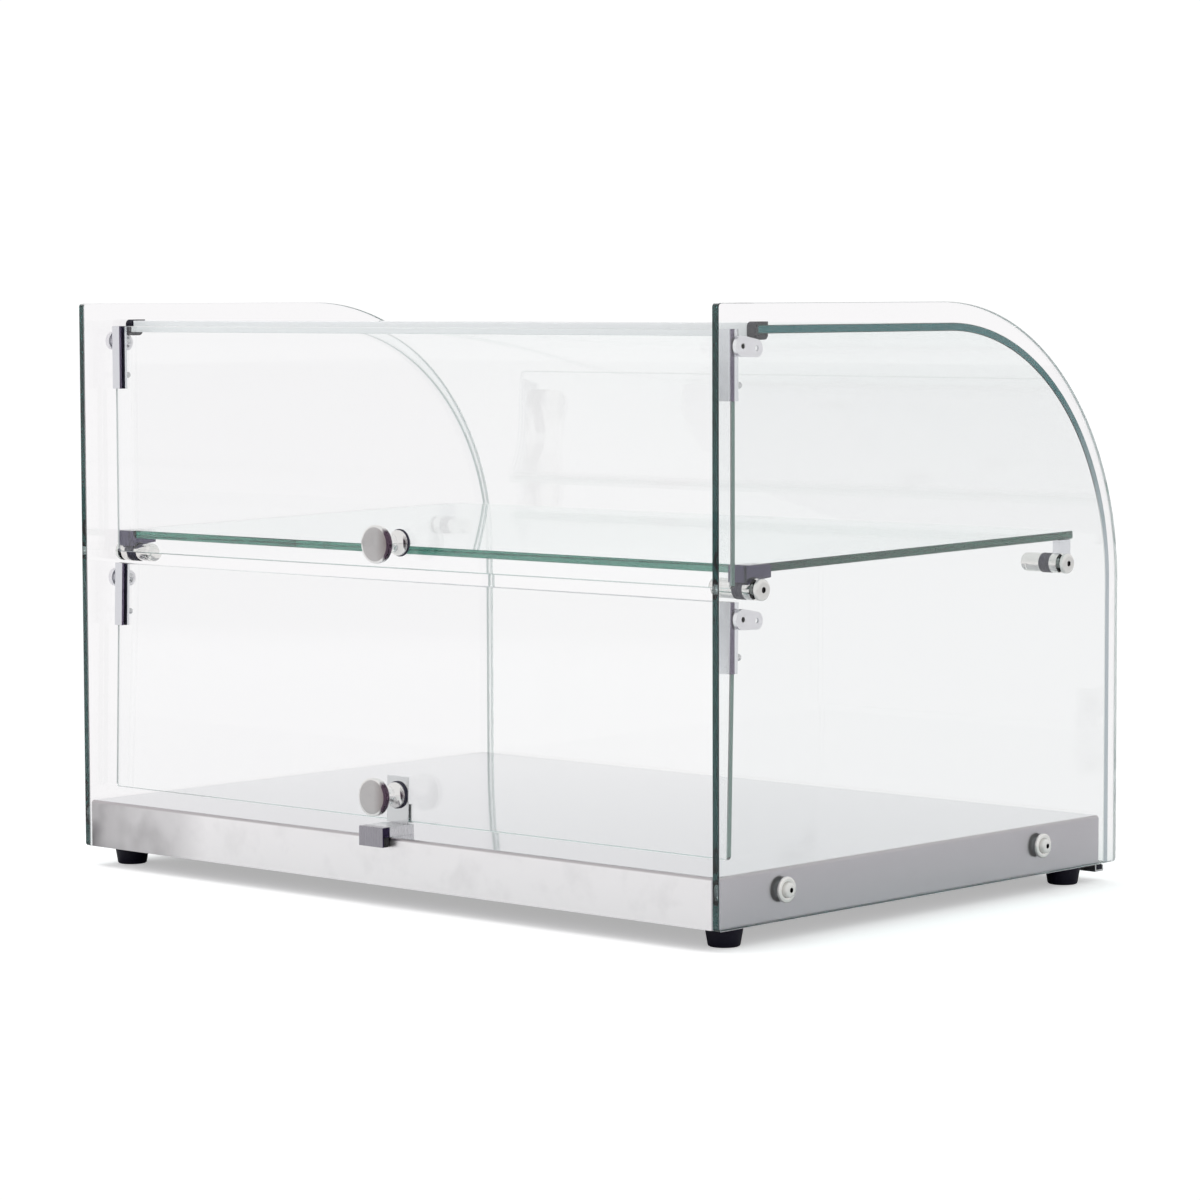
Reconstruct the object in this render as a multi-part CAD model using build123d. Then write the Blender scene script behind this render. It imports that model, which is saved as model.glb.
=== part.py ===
from build123d import *
import math
import os

# Countertop glass display case with two lift-up service doors.
# The service side is at -Y, the bent customer-side glass at +Y, and the feet stand on Z = 0.
# The origin is the middle of the footprint, on the surface that the case stands on.

# Case
case_width = 560.0  # over the outer faces of the side glass
case_depth = 392.3  # side glass, rear edge to front edge
side_height = 361.7  # side glass, bottom edge to top edge
nose_radius = 181.5  # big round at the top front of the side glass
glass = 5.0  # thickness of the side panes, the bent pane and the shelf
pane_corner = 2.5  # radius of the small pane corners
side_gap = 0.4  # side glass to the pieces that stand between the side panes

# Base pan
pan_height = 30.9
sheet = 1.2
bend_radius = 2.4
pan_front_setback = 14.0  # pan front to the front edge of the side glass
side_drop = 0.5  # side glass reaches this far below the pan
flange_width = 22.0

# Bent glass
roof_drop = 12.9  # top of the side glass to the top face of the bent glass
front_setback = 5.4  # front edge of the side glass to the front face of the bent glass
bend_outer_radius = 166.7
roof_rear_setback = 38.0  # rear edge of the side glass to the rear edge of the roof
trim_wall = 1.3
trim_leg = 8.0
cushion_wall = 1.9  # behind the roof
cushion_over = 2.0
cushion_under = 3.5  # down to the hinge plate
cushion_length = 11.2
cushion_width = 6.6
cushion_round = 3.2

# Gutter that carries the bottom edge of the bent glass
gutter_width = 6.4
gutter_depth = 5.2
gutter_lip = 2.8
gutter_flange = 22.0
gutter_end_gap = 2.5
rivet_spacing = 200.0
rivet_radius = 1.6
rivet_head_radius = 3.2
rivet_head = 1.1

# Feet
foot_height = 13.0
foot_top_radius = 11.7
foot_bottom_radius = 9.6
foot_inset_x = 12.6  # foot centre to the pan side
foot_rear = 25.5  # foot centre to the pan rear
foot_front = 19.5  # foot centre to the pan front
foot_room = 1.0  # foot to the flange of the gutter
foot_recess_radius = 5.4
foot_recess = 7.0

# Shelf
shelf_rear_setback = 32.9  # rear edge of the side glass to the rear edge of the shelf
shelf_front_setback = 41.8  # front edge of the shelf to the front edge of the side glass
shelf_side_gap = 2.0
shelf_lift = 16.3  # top of the lower door to the underside of the rear edge of the shelf
shelf_rise = 5.6  # the front edge stands this much higher than the rear edge
rear_peg_setback = 36.1  # rear edge of the side glass to the rear pegs
front_peg_setback = 57.9  # front pegs to the front edge of the side glass
peg_drop = 9.3  # underside of the rear edge of the shelf to the peg axis
peg_radius = 6.0
peg_length = 15.0
peg_stud_radius = 2.5
collar_radius = 6.3
collar_length = 8.0
peg_flange = 5.9
cap_radius = 6.4
cap_height = 3.0
gasket = 0.5
rest_width = 14.8
rest_length = 21.3
rest_wall = 1.5
rest_rear_wall = 3.6
rest_foot = 5.2  # depth of the rest below the shelf
rest_side_foot = 2.2  # depth below the shelf along the side glass
rest_slope = 6.0  # degrees that the underside rises towards the front
pad_width = 6.6
pad_length = 11.5
pad_offset = 4.4  # pad centre in front of the peg axis

# Base screws
base_screw_rear = 60.0  # rear edge of the side glass to the rear screws
base_screw_front = 80.3  # front screws to the front edge of the side glass
base_screw_height = 18.5  # above the bottom of the side glass
base_screw_radius = 2.5
base_screw_length = 16.0
cup_radius = 7.8
cup_height = 2.0
head_radius = 4.6
head_height = 3.4
bush_radius = 4.4

# Doors
door_top_drop = 15.1  # top of the side glass to the top of the upper door
door_gap = 7.6  # upper door to lower door
door_deck_gap = 7.6  # lower door to the deck
door_glass_thickness = 4.0
door_setback = 21.3  # rear edge of the side glass to the outer face of the doors
pivot_drop = 9.8  # door top to the pivot axis
pivot_offset = 3.4  # door outer face to the pivot axis
lower_lean = 1.5  # degrees that the magnet draws the lower door outwards
plate_thickness = 3.0
plate_radius = 6.1  # round end at the pivot
plate_tip_radius = 5.2  # round end at the screw hole
plate_hole_radius = 1.6
plate_hole_spacing = 12.5  # pivot axis to the screw hole
plate_droop = 6.0  # degrees that the plates point down towards the front
boss_radius = 3.4  # boss round the pin, on the side of the door
boss_height = 1.3
pin_radius = 1.5
pin_clearance = 0.05
hinge_play = 0.5  # boss of the hinge plate to the door clamp
clamp_height = 41.5
clamp_reach = 8.6
clamp_wall = 1.8  # the two flanges
clamp_web = 1.2
clamp_corner = 2.4
clamp_liner = 0.5
set_screw_radius = 2.0
set_screw_stand = 5.0
set_screw_spacing = 23.4
set_screw_inset = 4.6  # door clamp side to the set screw axis

# Knobs
knob_length = 21.7
knob_head_radius = 12.0
knob_head_length = 4.6
knob_neck_radius = 3.6
knob_flange_radius = 8.0
knob_flange = 1.6
knob_washer_radius = 8.6
knob_washer = 1.3
knob_rise = 16.4  # bottom of the door to the knob axis
knob_screw_radius = 2.0
knob_bore_depth = 11.0
knob_screw_head_radius = 4.0
knob_screw_head = 2.6
inner_washer_radius = 5.4
inner_washer = 1.0

# Magnetic catch and its strike
strike_width = 18.6
strike_height = 28.0
strike_back = 11.0
strike_sheet = 0.8
catch_width = 21.0
catch_reach = 6.3  # catch front to the pan rear
catch_length = 21.0  # catch over the deck
catch_drop = 6.0  # catch below the deck
catch_plate = 1.2
magnet_corner = 1.5
catch_gap = 0.5  # strike to catch

# General fits
hole_clearance = 0.2
slide_clearance = 0.05

# Places worked out from the sizes
side_outer_x = case_width / 2
side_inner_x = side_outer_x - glass
between_x = side_inner_x - side_gap
rear_y = (catch_reach - case_depth) / 2
front_y = rear_y + case_depth
pan_bottom_z = foot_height
side_bottom_z = pan_bottom_z - side_drop
side_top_z = side_bottom_z + side_height
deck_z = pan_bottom_z + pan_height
pan_front_y = front_y - pan_front_setback
roof_top_z = side_top_z - roof_drop
bent_front_y = front_y - front_setback
roof_rear_y = rear_y + roof_rear_setback
upper_door_top_z = side_top_z - door_top_drop
lower_door_bottom_z = deck_z + door_deck_gap
door_height = (upper_door_top_z - lower_door_bottom_z - door_gap) / 2
lower_door_top_z = lower_door_bottom_z + door_height
shelf_depth = case_depth - shelf_rear_setback - shelf_front_setback
shelf_rear_y = rear_y + shelf_rear_setback
shelf_rear_z = lower_door_top_z + shelf_lift
shelf_tilt = math.degrees(math.asin(shelf_rise / shelf_depth))
peg_z = shelf_rear_z - peg_drop
peg_ys = (rear_y + rear_peg_setback, front_y - front_peg_setback)
base_screw_z = side_bottom_z + base_screw_height
base_screw_ys = (rear_y + base_screw_rear, front_y - base_screw_front)
foot_xs = (between_x - foot_inset_x, foot_inset_x - between_x)
foot_ys = (rear_y + foot_rear, pan_front_y - foot_front)
door_y = rear_y + door_setback
pivot_y = door_y + pivot_offset
upper_pivot_z = upper_door_top_z - pivot_drop
lower_pivot_z = lower_door_top_z - pivot_drop
knob_height = door_height - pivot_drop - knob_rise
plate_x = side_inner_x - plate_thickness
boss_x = plate_x - boss_height
clamp_x = boss_x - hinge_play
door_half_width = clamp_x - clamp_web - clamp_liner
door_inner_y = door_y + door_glass_thickness
catch_top_z = lower_door_bottom_z - strike_sheet - catch_gap


def block(x, y, z):
    """A box between two values on each axis."""
    size = Box(x[1] - x[0], y[1] - y[0], z[1] - z[0])
    return Pos((x[0] + x[1]) / 2, (y[0] + y[1]) / 2, (z[0] + z[1]) / 2) * size


def rod(radius, x0, x1, y, z):
    """A round bar along X."""
    return Pos((x0 + x1) / 2, y, z) * Rot(0, 90, 0) * Cylinder(radius, x1 - x0)


def post(radius, z0, z1, x, y):
    """A round bar along Z."""
    return Pos(x, y, (z0 + z1) / 2) * Cylinder(radius, z1 - z0)


def spoke(radius, y0, y1, x, z):
    """A round bar along Y."""
    return Pos(x, (y0 + y1) / 2, z) * Rot(90, 0, 0) * Cylinder(radius, y1 - y0)


def hexagon_x(flats, x0, x1, y, z):
    """A hexagonal bar along X, measured across its flats."""
    face = RegularPolygon(flats / 2, 6, major_radius=False)
    return Pos(x0, y, z) * Rot(0, 90, 0) * extrude(face, x1 - x0)


def hexagon_z(flats, z0, z1, x, y):
    """A hexagonal bar along Z, measured across its flats."""
    face = RegularPolygon(flats / 2, 6, major_radius=False)
    return Pos(x, y, z0) * extrude(face, z1 - z0)


def hexagon_y(flats, y0, y1, x, z):
    """A hexagonal bar along Y, measured across its flats."""
    face = RegularPolygon(flats / 2, 6, major_radius=False)
    return Pos(x, y0, z) * Rot(-90, 0, 0) * extrude(face, y1 - y0)


def across(profile, half_width):
    """A Y-Z profile drawn out to both sides of the middle."""
    return extrude(Plane.YZ * profile, half_width, both=True)


def strip(path, thickness, side):
    """The section of bent sheet that lies to one side of a path."""
    return make_face(offset(path, thickness, side=side, kind=Kind.INTERSECTION, closed=True).edges())


def on_both_sides(pieces):
    """The right-hand pieces and their mirror images."""
    return list(pieces) + [mirror(piece, about=Plane.YZ) for piece in pieces]


# Glass

def side_glass():
    nose = CenterArc((front_y - nose_radius, side_top_z - nose_radius), nose_radius, 90, -90)
    top = Line((rear_y, side_top_z), nose @ 0)
    front = Line(nose @ 1, (front_y, side_bottom_z))
    bottom = Line((front_y, side_bottom_z), (rear_y, side_bottom_z))
    rear = Line((rear_y, side_bottom_z), (rear_y, side_top_z))
    outline = make_face([nose, top, front, bottom, rear])
    sharp = outline.vertices().filter_by(lambda v: v.X < rear_y + 1 or v.Y < side_bottom_z + 1)
    outline = fillet(sharp, pane_corner)
    pane = Pos(side_inner_x, 0, 0) * extrude(Plane.YZ * outline, glass)
    for y in base_screw_ys:
        pane -= rod(bush_radius + slide_clearance, side_inner_x - 1, side_outer_x + 1, y, base_screw_z)
    for y in peg_ys:
        pane -= rod(peg_stud_radius + hole_clearance, side_inner_x - 1, side_outer_x + 1, y, peg_z)
    return pane


def bent_glass():
    centre = (bent_front_y - bend_outer_radius, roof_top_z - bend_outer_radius)
    bend = CenterArc(centre, bend_outer_radius, 90, -90)
    roof = Line((roof_rear_y, roof_top_z), bend @ 0)
    front = Line(bend @ 1, (bent_front_y, side_bottom_z))
    return across(strip(Wire([roof, bend, front]), glass, Side.RIGHT), between_x)


def shelf_glass():
    half = side_inner_x - shelf_side_gap
    pane = block((-half, half), (0, shelf_depth), (0, glass))
    pane = fillet(pane.edges().filter_by(Axis.Z), pane_corner)
    return Pos(0, shelf_rear_y, shelf_rear_z) * Rot(shelf_tilt, 0, 0) * pane


def door_glass(pivot_z):
    top = pivot_z + pivot_drop
    pane = block((-door_half_width, door_half_width), (door_y, door_inner_y), (top - door_height, top))
    pane = fillet(pane.edges().filter_by(Axis.Y), pane_corner)
    hole = knob_screw_radius + hole_clearance
    return pane - spoke(hole, door_y - 1, door_inner_y + 1, 0, pivot_z - knob_height)


# Base

def base_pan():
    pan = block((-between_x, between_x), (rear_y, pan_front_y), (pan_bottom_z, deck_z))
    bends = pan.edges().filter_by(Axis.Z) + pan.faces().sort_by(Axis.Z)[-1].edges()
    pan = fillet(bends, bend_radius)
    pan = offset(pan, -sheet, openings=pan.faces().sort_by(Axis.Z)[0])
    length = pan_front_y - rear_y
    middle_y = (pan_front_y + rear_y) / 2
    rim = RectangleRounded(2 * between_x, length, bend_radius)
    rim -= RectangleRounded(2 * (between_x - flange_width), length - 2 * flange_width, bend_radius)
    pan += Pos(0, middle_y, pan_bottom_z) * extrude(rim, sheet)
    screw_hole = base_screw_radius + hole_clearance
    for y in base_screw_ys:
        pan -= rod(screw_hole, -between_x - 1, -between_x + sheet + 1, y, base_screw_z)
        pan -= rod(screw_hole, between_x - sheet - 1, between_x + 1, y, base_screw_z)
    for x, y in foot_places():
        pan -= post(foot_screw_radius() + hole_clearance, pan_bottom_z - 1, pan_bottom_z + sheet + 1, x, y)
    for x in rivet_xs():
        pan -= post(rivet_radius + slide_clearance, pan_bottom_z - 1, pan_bottom_z + sheet + 1, x, rivet_y())
    return pan


def rivet_xs():
    return (-rivet_spacing, 0, rivet_spacing)


def rivet_y():
    return pan_front_y - flange_width / 2


def gutter():
    """Folded strip under the pan front, with a trough below the bent glass."""
    rear_face = bent_front_y - glass / 2 - gutter_width / 2
    front_face = rear_face + gutter_width
    trough = side_bottom_z - gutter_depth
    path = Polyline(
        (pan_front_y - gutter_flange, pan_bottom_z),
        (rear_face, pan_bottom_z),
        (rear_face, trough),
        (front_face, trough),
        (front_face, trough + gutter_lip),
    )
    folded = across(strip(path, sheet, Side.RIGHT), side_inner_x - gutter_end_gap)
    notch = block(
        (foot_xs[0] - foot_top_radius - foot_room, side_inner_x),
        (pan_front_y - 2 * gutter_flange, rear_face - sheet),
        (pan_bottom_z - sheet, pan_bottom_z),
    )
    for corner in on_both_sides([notch]):
        folded -= corner
    for x in rivet_xs():
        folded -= post(rivet_radius + slide_clearance, pan_bottom_z - sheet - 1, pan_bottom_z + 1, x, rivet_y())
    return folded


def gutter_cord():
    """Round rubber cord that the bottom edge of the bent glass stands on."""
    radius = gutter_depth / 2 - slide_clearance
    half = side_inner_x - gutter_end_gap
    return rod(radius, -half, half, bent_front_y - glass / 2, side_bottom_z - gutter_depth / 2)


def gutter_rivets():
    rivets = []
    for x in rivet_xs():
        low = pan_bottom_z - sheet
        high = pan_bottom_z + sheet
        head = Pos(x, rivet_y(), low - rivet_head) * Cone(
            rivet_head_radius * 0.55, rivet_head_radius, rivet_head, align=(Align.CENTER, Align.CENTER, Align.MIN)
        )
        shank = post(rivet_radius, low, high, x, rivet_y())
        tail = post(rivet_radius * 1.4, high, high + rivet_head, x, rivet_y())
        rivets.append(head + shank + tail)
    return rivets


def foot_screw_radius():
    return foot_recess_radius * 0.37


def foot_places():
    return [(x, y) for x in foot_xs for y in foot_ys]


def feet():
    profile = make_face(Polyline(
        (0, 0), (foot_bottom_radius, 0), (foot_top_radius, foot_height), (0, foot_height), close=True,
    ))
    body = revolve(Plane.XZ * profile, Axis.Z)
    body = fillet(body.faces().sort_by(Axis.Z)[0].edges(), 1.4)
    body -= post(foot_recess_radius, -1, foot_recess, 0, 0)
    body -= post(foot_screw_radius() + hole_clearance, 0, foot_height + 1, 0, 0)
    return [Pos(x, y, 0) * body for x, y in foot_places()]


def foot_washers():
    washer = post(foot_recess_radius - hole_clearance, foot_recess - sheet, foot_recess, 0, 0)
    washer -= post(foot_screw_radius() + hole_clearance, 0, foot_height, 0, 0)
    return [Pos(x, y, 0) * washer for x, y in foot_places()]


def foot_screws():
    head_top = foot_recess - sheet
    tip = pan_bottom_z + sheet + foot_nut_height() + 1.0
    head = post(foot_screw_radius() * 1.9, head_top - 2.2, head_top, 0, 0)
    head = fillet(head.faces().sort_by(Axis.Z)[0].edges(), 0.9)
    screw = head + post(foot_screw_radius(), head_top, tip, 0, 0)
    screw -= hexagon_z(foot_screw_radius() * 1.2, head_top - 3.0, head_top - 0.9, 0, 0)
    return [Pos(x, y, 0) * screw for x, y in foot_places()]


def foot_nut_height():
    return foot_screw_radius() * 1.6


def foot_nuts():
    low = pan_bottom_z + sheet
    nut = hexagon_z(foot_screw_radius() * 3.5, low, low + foot_nut_height(), 0, 0)
    nut -= post(foot_screw_radius() + slide_clearance, low - 1, low + foot_nut_height() + 1, 0, 0)
    return [Pos(x, y, 0) * nut for x, y in foot_places()]


# Screws that hold the side glass to the pan

def base_screws():
    screws = []
    seat = side_outer_x + cup_height
    for y in base_screw_ys:
        head = rod(head_radius, seat - 0.8, seat - 0.8 + head_height, y, base_screw_z)
        head = fillet(head.faces().sort_by(Axis.X)[-1].edges(), 1.2)
        shank = rod(base_screw_radius, seat - base_screw_length, seat, y, base_screw_z)
        socket = hexagon_x(3.2, seat + 0.7, seat + head_height, y, base_screw_z)
        screws.append(head + shank - socket)
    return on_both_sides(screws)


def base_cup_washers():
    """Turned cup washers with a raised rim around each screw head."""
    cups = []
    for y in base_screw_ys:
        cup = rod(cup_radius, side_outer_x, side_outer_x + cup_height, y, base_screw_z)
        cup = fillet(cup.faces().sort_by(Axis.X)[-1].edges(), 0.9)
        pocket = side_outer_x + cup_height - 0.8
        cup -= rod(head_radius + slide_clearance, pocket, pocket + 2, y, base_screw_z)
        cup -= rod(base_screw_radius + slide_clearance, side_outer_x - 1, pocket + 1, y, base_screw_z)
        cups.append(cup)
    return on_both_sides(cups)


def base_bushes():
    """Plastic bushes that keep the screws off the glass."""
    bushes = []
    for y in base_screw_ys:
        bush = rod(bush_radius, between_x, side_outer_x, y, base_screw_z)
        bush -= rod(base_screw_radius + slide_clearance, between_x - 1, side_outer_x + 1, y, base_screw_z)
        bushes.append(bush)
    return on_both_sides(bushes)


def base_nuts():
    nuts = []
    outer = between_x - sheet
    for y in base_screw_ys:
        nut = hexagon_x(base_screw_radius * 3.2, outer - 4.0, outer, y, base_screw_z)
        nut -= rod(base_screw_radius + slide_clearance, outer - 5, outer + 1, y, base_screw_z)
        nuts.append(nut)
    return on_both_sides(nuts)


# Shelf supports

def peg_stack():
    """Places along X of the peg: inner end, collar, flange and side glass."""
    flange = side_inner_x - peg_flange
    collar = flange - collar_length
    return collar - peg_length, collar, flange


def shelf_pegs():
    """Chrome pegs, each with the stud that passes through the side glass."""
    inner, collar, flange = peg_stack()
    pegs = []
    for y in peg_ys:
        barrel = rod(peg_radius, inner, collar, y, peg_z)
        barrel = fillet(barrel.faces().sort_by(Axis.X)[0].edges(), 2.4)
        stud = rod(peg_stud_radius, collar, side_outer_x + gasket + cap_height / 2, y, peg_z)
        pegs.append(barrel + stud)
    return on_both_sides(pegs)


def peg_collars():
    inner, collar, flange = peg_stack()
    rings = []
    for y in peg_ys:
        ring = rod(collar_radius, collar, flange, y, peg_z)
        rings.append(ring - rod(peg_stud_radius + slide_clearance, collar - 1, flange + 1, y, peg_z))
    return on_both_sides(rings)


def peg_flanges():
    inner, collar, flange = peg_stack()
    rings = []
    for y in peg_ys:
        ring = rod(cap_radius, flange, side_inner_x, y, peg_z)
        ring = fillet(ring.faces().sort_by(Axis.X)[0].edges(), 0.6)
        rings.append(ring - rod(peg_stud_radius + slide_clearance, flange - 1, side_inner_x + 1, y, peg_z))
    return on_both_sides(rings)


def peg_caps():
    """Domed caps screwed onto the studs outside the side glass."""
    caps = []
    low = side_outer_x + gasket
    for y in peg_ys:
        cap = rod(cap_radius, low, low + cap_height, y, peg_z)
        cap = fillet(cap.faces().sort_by(Axis.X)[-1].edges(), 1.3)
        cap -= rod(peg_stud_radius + slide_clearance, low - 1, low + cap_height / 2 + slide_clearance, y, peg_z)
        cap -= hexagon_x(3.6, low + cap_height / 2 + 0.5, low + cap_height + 1, y, peg_z)
        caps.append(cap)
    return on_both_sides(caps)


def peg_gaskets():
    rings = []
    for y in peg_ys:
        ring = rod(cap_radius - 0.4, side_outer_x, side_outer_x + gasket, y, peg_z)
        ring -= rod(peg_stud_radius + slide_clearance, side_outer_x - 1, side_outer_x + gasket + 1, y, peg_z)
        rings.append(ring)
    return on_both_sides(rings)


def peg_clearance(y):
    """Room for one peg, its collar and its flange."""
    inner, collar, flange = peg_stack()
    radius = cap_radius + slide_clearance
    return rod(radius, inner - 1, side_inner_x + 1, y, peg_z)


def shelf_corner_rests():
    """Moulded rests that cup the rear corners of the shelf and straddle the rear pegs."""
    outer = side_inner_x - slide_clearance
    rear = shelf_rear_y - rest_rear_wall
    low = shelf_rear_z - rest_foot
    rest = block((outer - rest_width, outer), (rear, rear + rest_length), (low, shelf_rear_z + glass))
    rest = fillet(rest.edges().filter_by(Axis.Z), rest_wall)
    rest -= shelf_glass()
    rest -= peg_clearance(peg_ys[0])
    side_low = shelf_rear_z - rest_side_foot
    bevel = make_face(Polyline((outer + 1, low - 1), (outer + 1, side_low + 1), (outer - 4.2, low - 1), close=True))
    rest -= Pos(0, rear - 1, 0) * extrude(Plane.XZ * bevel, -rest_length - 2)
    rise = math.tan(math.radians(rest_slope)) * rest_length
    slope = make_face(Polyline((rear, low - 1), (rear, low), (rear + rest_length, low + rise),
                               (rear + rest_length + 1, low - 1), close=True))
    rest -= Pos(outer - rest_width - 1, 0, 0) * extrude(Plane.YZ * slope, rest_width + 2)
    return on_both_sides([rest])


def shelf_front_pads():
    """Taller pads that hold the front of the shelf up on the front pegs."""
    outer = side_inner_x - slide_clearance
    middle = peg_ys[1] + pad_offset
    low = peg_z + peg_radius / 2
    high = shelf_rear_z + shelf_rise + glass / 2
    pad = block((outer - pad_width, outer), (middle - pad_length / 2, middle + pad_length / 2), (low, high))
    pad = fillet(pad.edges().filter_by(Axis.Z), 1.2)
    below = Pos(0, shelf_rear_y, shelf_rear_z) * Rot(shelf_tilt, 0, 0)
    pad -= below * block((0, case_width), (0, case_depth), (0, 4 * glass))
    pad -= peg_clearance(peg_ys[1])
    return on_both_sides([pad])


# Rear edge of the roof

def roof_trim():
    """Clear U-section strip pushed over the rear edge of the roof."""
    low = roof_top_z - glass
    rear = roof_rear_y - trim_wall
    path = Polyline(
        (rear + trim_leg + trim_wall, low), (roof_rear_y, low), (roof_rear_y, roof_top_z),
        (rear + trim_leg + trim_wall, roof_top_z),
    )
    half = between_x - cushion_width - side_gap
    return across(strip(path, trim_wall, Side.LEFT), half)


def roof_cushions():
    """Rounded rubber caps on the rear corners of the roof, standing on the upper hinge plates."""
    low = roof_top_z - glass - cushion_under
    rear = roof_rear_y - cushion_wall
    cap = block(
        (between_x - cushion_width, between_x),
        (rear, rear + cushion_length),
        (low, roof_top_z + cushion_over),
    )
    edges = cap.edges().filter_by(Axis.X).sort_by(Axis.Z)
    cap = fillet(edges[:2] + edges[2:].sort_by(Axis.Y)[:1], cushion_round)
    cap -= bent_glass()
    cap -= Pos(plate_x - 1, pivot_y, upper_pivot_z) * Rot(-plate_droop, 0, 0) * extrude(Plane.YZ * plate_face(), 2 * glass)
    return on_both_sides([cap])


# Hinges

def plate_face():
    """Outline of a hinge plate in the Y-Z plane, drawn from the pivot towards the front."""
    slant = math.degrees(math.asin((plate_radius - plate_tip_radius) / plate_hole_spacing))
    lean = math.radians(90 - slant)
    edge_y = math.cos(lean)
    edge_z = math.sin(lean)
    corners = [
        (plate_radius * edge_y, plate_radius * edge_z),
        (plate_hole_spacing + plate_tip_radius * edge_y, plate_tip_radius * edge_z),
        (plate_hole_spacing + plate_tip_radius * edge_y, -plate_tip_radius * edge_z),
        (plate_radius * edge_y, -plate_radius * edge_z),
    ]
    top = Line(corners[0], corners[1])
    tip = ThreePointArc(corners[1], (plate_hole_spacing + plate_tip_radius, 0), corners[2])
    bottom = Line(corners[2], corners[3])
    root = ThreePointArc(corners[3], (-plate_radius, 0), corners[0])
    return make_face([top, tip, bottom, root])


def hinge_plates():
    """Tapered plates bonded inside the side glass: a boss for the pin and one open countersunk hole."""
    plates = []
    for pivot_z in (upper_pivot_z, lower_pivot_z):
        plate = Pos(plate_x, 0, 0) * extrude(Plane.YZ * plate_face(), plate_thickness)
        plate = chamfer(plate.faces().sort_by(Axis.X)[0].outer_wire().edges(), 0.4)
        plate += rod(boss_radius, boss_x, side_inner_x, 0, 0)
        plate -= rod(pin_radius + slide_clearance, boss_x - 1, side_inner_x + 1, 0, 0)
        plate -= rod(plate_hole_radius, plate_x - 1, side_inner_x + 1, plate_hole_spacing, 0)
        sink = Cone(plate_hole_radius * 2, plate_hole_radius, plate_hole_radius)
        plate -= Pos(plate_x + plate_hole_radius / 2, plate_hole_spacing, 0) * Rot(0, 90, 0) * sink
        plates.append(Pos(0, pivot_y, pivot_z) * Rot(-plate_droop, 0, 0) * plate)
    return on_both_sides(plates)


def hinge_pins():
    pins = []
    for pivot_z in (upper_pivot_z, lower_pivot_z):
        pins.append(rod(pin_radius, clamp_x - clamp_web, side_inner_x, pivot_y, pivot_z))
    return on_both_sides(pins)


def clamp_section(inset_x, inset_y, x_end):
    """Plan of a U that wraps the side edge of a door, grown inwards by the insets."""
    x_out = clamp_x - inset_x
    y_low = door_y - clamp_liner - clamp_wall + inset_y
    y_high = door_inner_y + clamp_liner + clamp_wall - inset_y
    outline = Pos((x_out + x_end) / 2, (y_low + y_high) / 2) * Rectangle(x_out - x_end, y_high - y_low)
    return outline


def set_screw_zs(pivot_z):
    middle = pivot_z + pivot_drop - clamp_height / 2
    return (middle - set_screw_spacing / 2, middle + set_screw_spacing / 2)


def door_clamps(pivot_z):
    """Channel clamps over the upper ends of the door's side edges."""
    x_end = clamp_x - clamp_reach
    outer = clamp_section(0, 0, x_end)
    corners = outer.vertices().group_by(Axis.X)[-1]
    section = fillet(corners, clamp_corner) - clamp_section(clamp_web, clamp_wall, x_end - 1)
    top = pivot_z + pivot_drop
    clamp = Pos(0, 0, top - clamp_height) * extrude(section, clamp_height)
    clamp -= rod(pin_radius + pin_clearance, clamp_x - clamp_web - 1, clamp_x + 1, pivot_y, pivot_z)
    y = door_inner_y + clamp_liner
    for z in set_screw_zs(pivot_z):
        clamp -= spoke(set_screw_radius + slide_clearance, y - 0.2, y + clamp_wall + 1, clamp_x - set_screw_inset, z)
    return on_both_sides([clamp])


def clamp_liners(pivot_z):
    """Dark liners between the clamps and the glass."""
    x_end = clamp_x - clamp_reach + 0.4
    liner_section = clamp_section(clamp_web, clamp_wall, x_end)
    liner_section -= clamp_section(clamp_web + clamp_liner, clamp_wall + clamp_liner, x_end - 1)
    top = pivot_z + pivot_drop
    liner = Pos(0, 0, top - clamp_height) * extrude(liner_section, clamp_height)
    return on_both_sides([liner])


def set_screws(pivot_z):
    screws = []
    y = door_inner_y + clamp_liner
    tip = y + clamp_wall + set_screw_stand
    x = clamp_x - set_screw_inset
    for z in set_screw_zs(pivot_z):
        screw = spoke(set_screw_radius, y, tip, x, z)
        screw = chamfer(screw.faces().sort_by(Axis.Y)[-1].edges(), 0.5)
        screws.append(screw - hexagon_y(2.0, tip - 2.0, tip + 1, x, z))
    return on_both_sides(screws)


# Knobs

def knob_place(pivot_z, stand):
    """Turns a part drawn round Z so that it points outwards from the door face."""
    return Pos(0, door_y - stand, pivot_z - knob_height) * Rot(90, 0, 0)


def knob(pivot_z, stand):
    head = knob_length - knob_head_length
    neck_start = knob_flange + 4.6
    neck_end = head - 6.2
    cove = ThreePointArc(
        (knob_flange_radius, knob_flange),
        (knob_neck_radius + 1.5, knob_flange + 1.7),
        (knob_neck_radius, neck_start),
    )
    flare = ThreePointArc(
        (knob_neck_radius, neck_end),
        (knob_neck_radius + 2.6, head - 2.0),
        (knob_head_radius - 0.7, head),
    )
    foot = Polyline((0, 0), (knob_flange_radius, 0), cove @ 0)
    neck = Line(cove @ 1, flare @ 0)
    crown = Polyline(
        flare @ 1, (knob_head_radius, head + 0.7), (knob_head_radius, knob_length), (0, knob_length), (0, 0),
    )
    body = revolve(Plane.XZ * make_face([foot, cove, neck, flare, crown]), Axis.Z)
    body = fillet(body.faces().sort_by(Axis.Z)[-1].edges(), 1.0)
    body -= post(knob_screw_radius + slide_clearance, -1, knob_bore_depth, 0, 0)
    return knob_place(pivot_z, stand + knob_washer) * body


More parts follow.
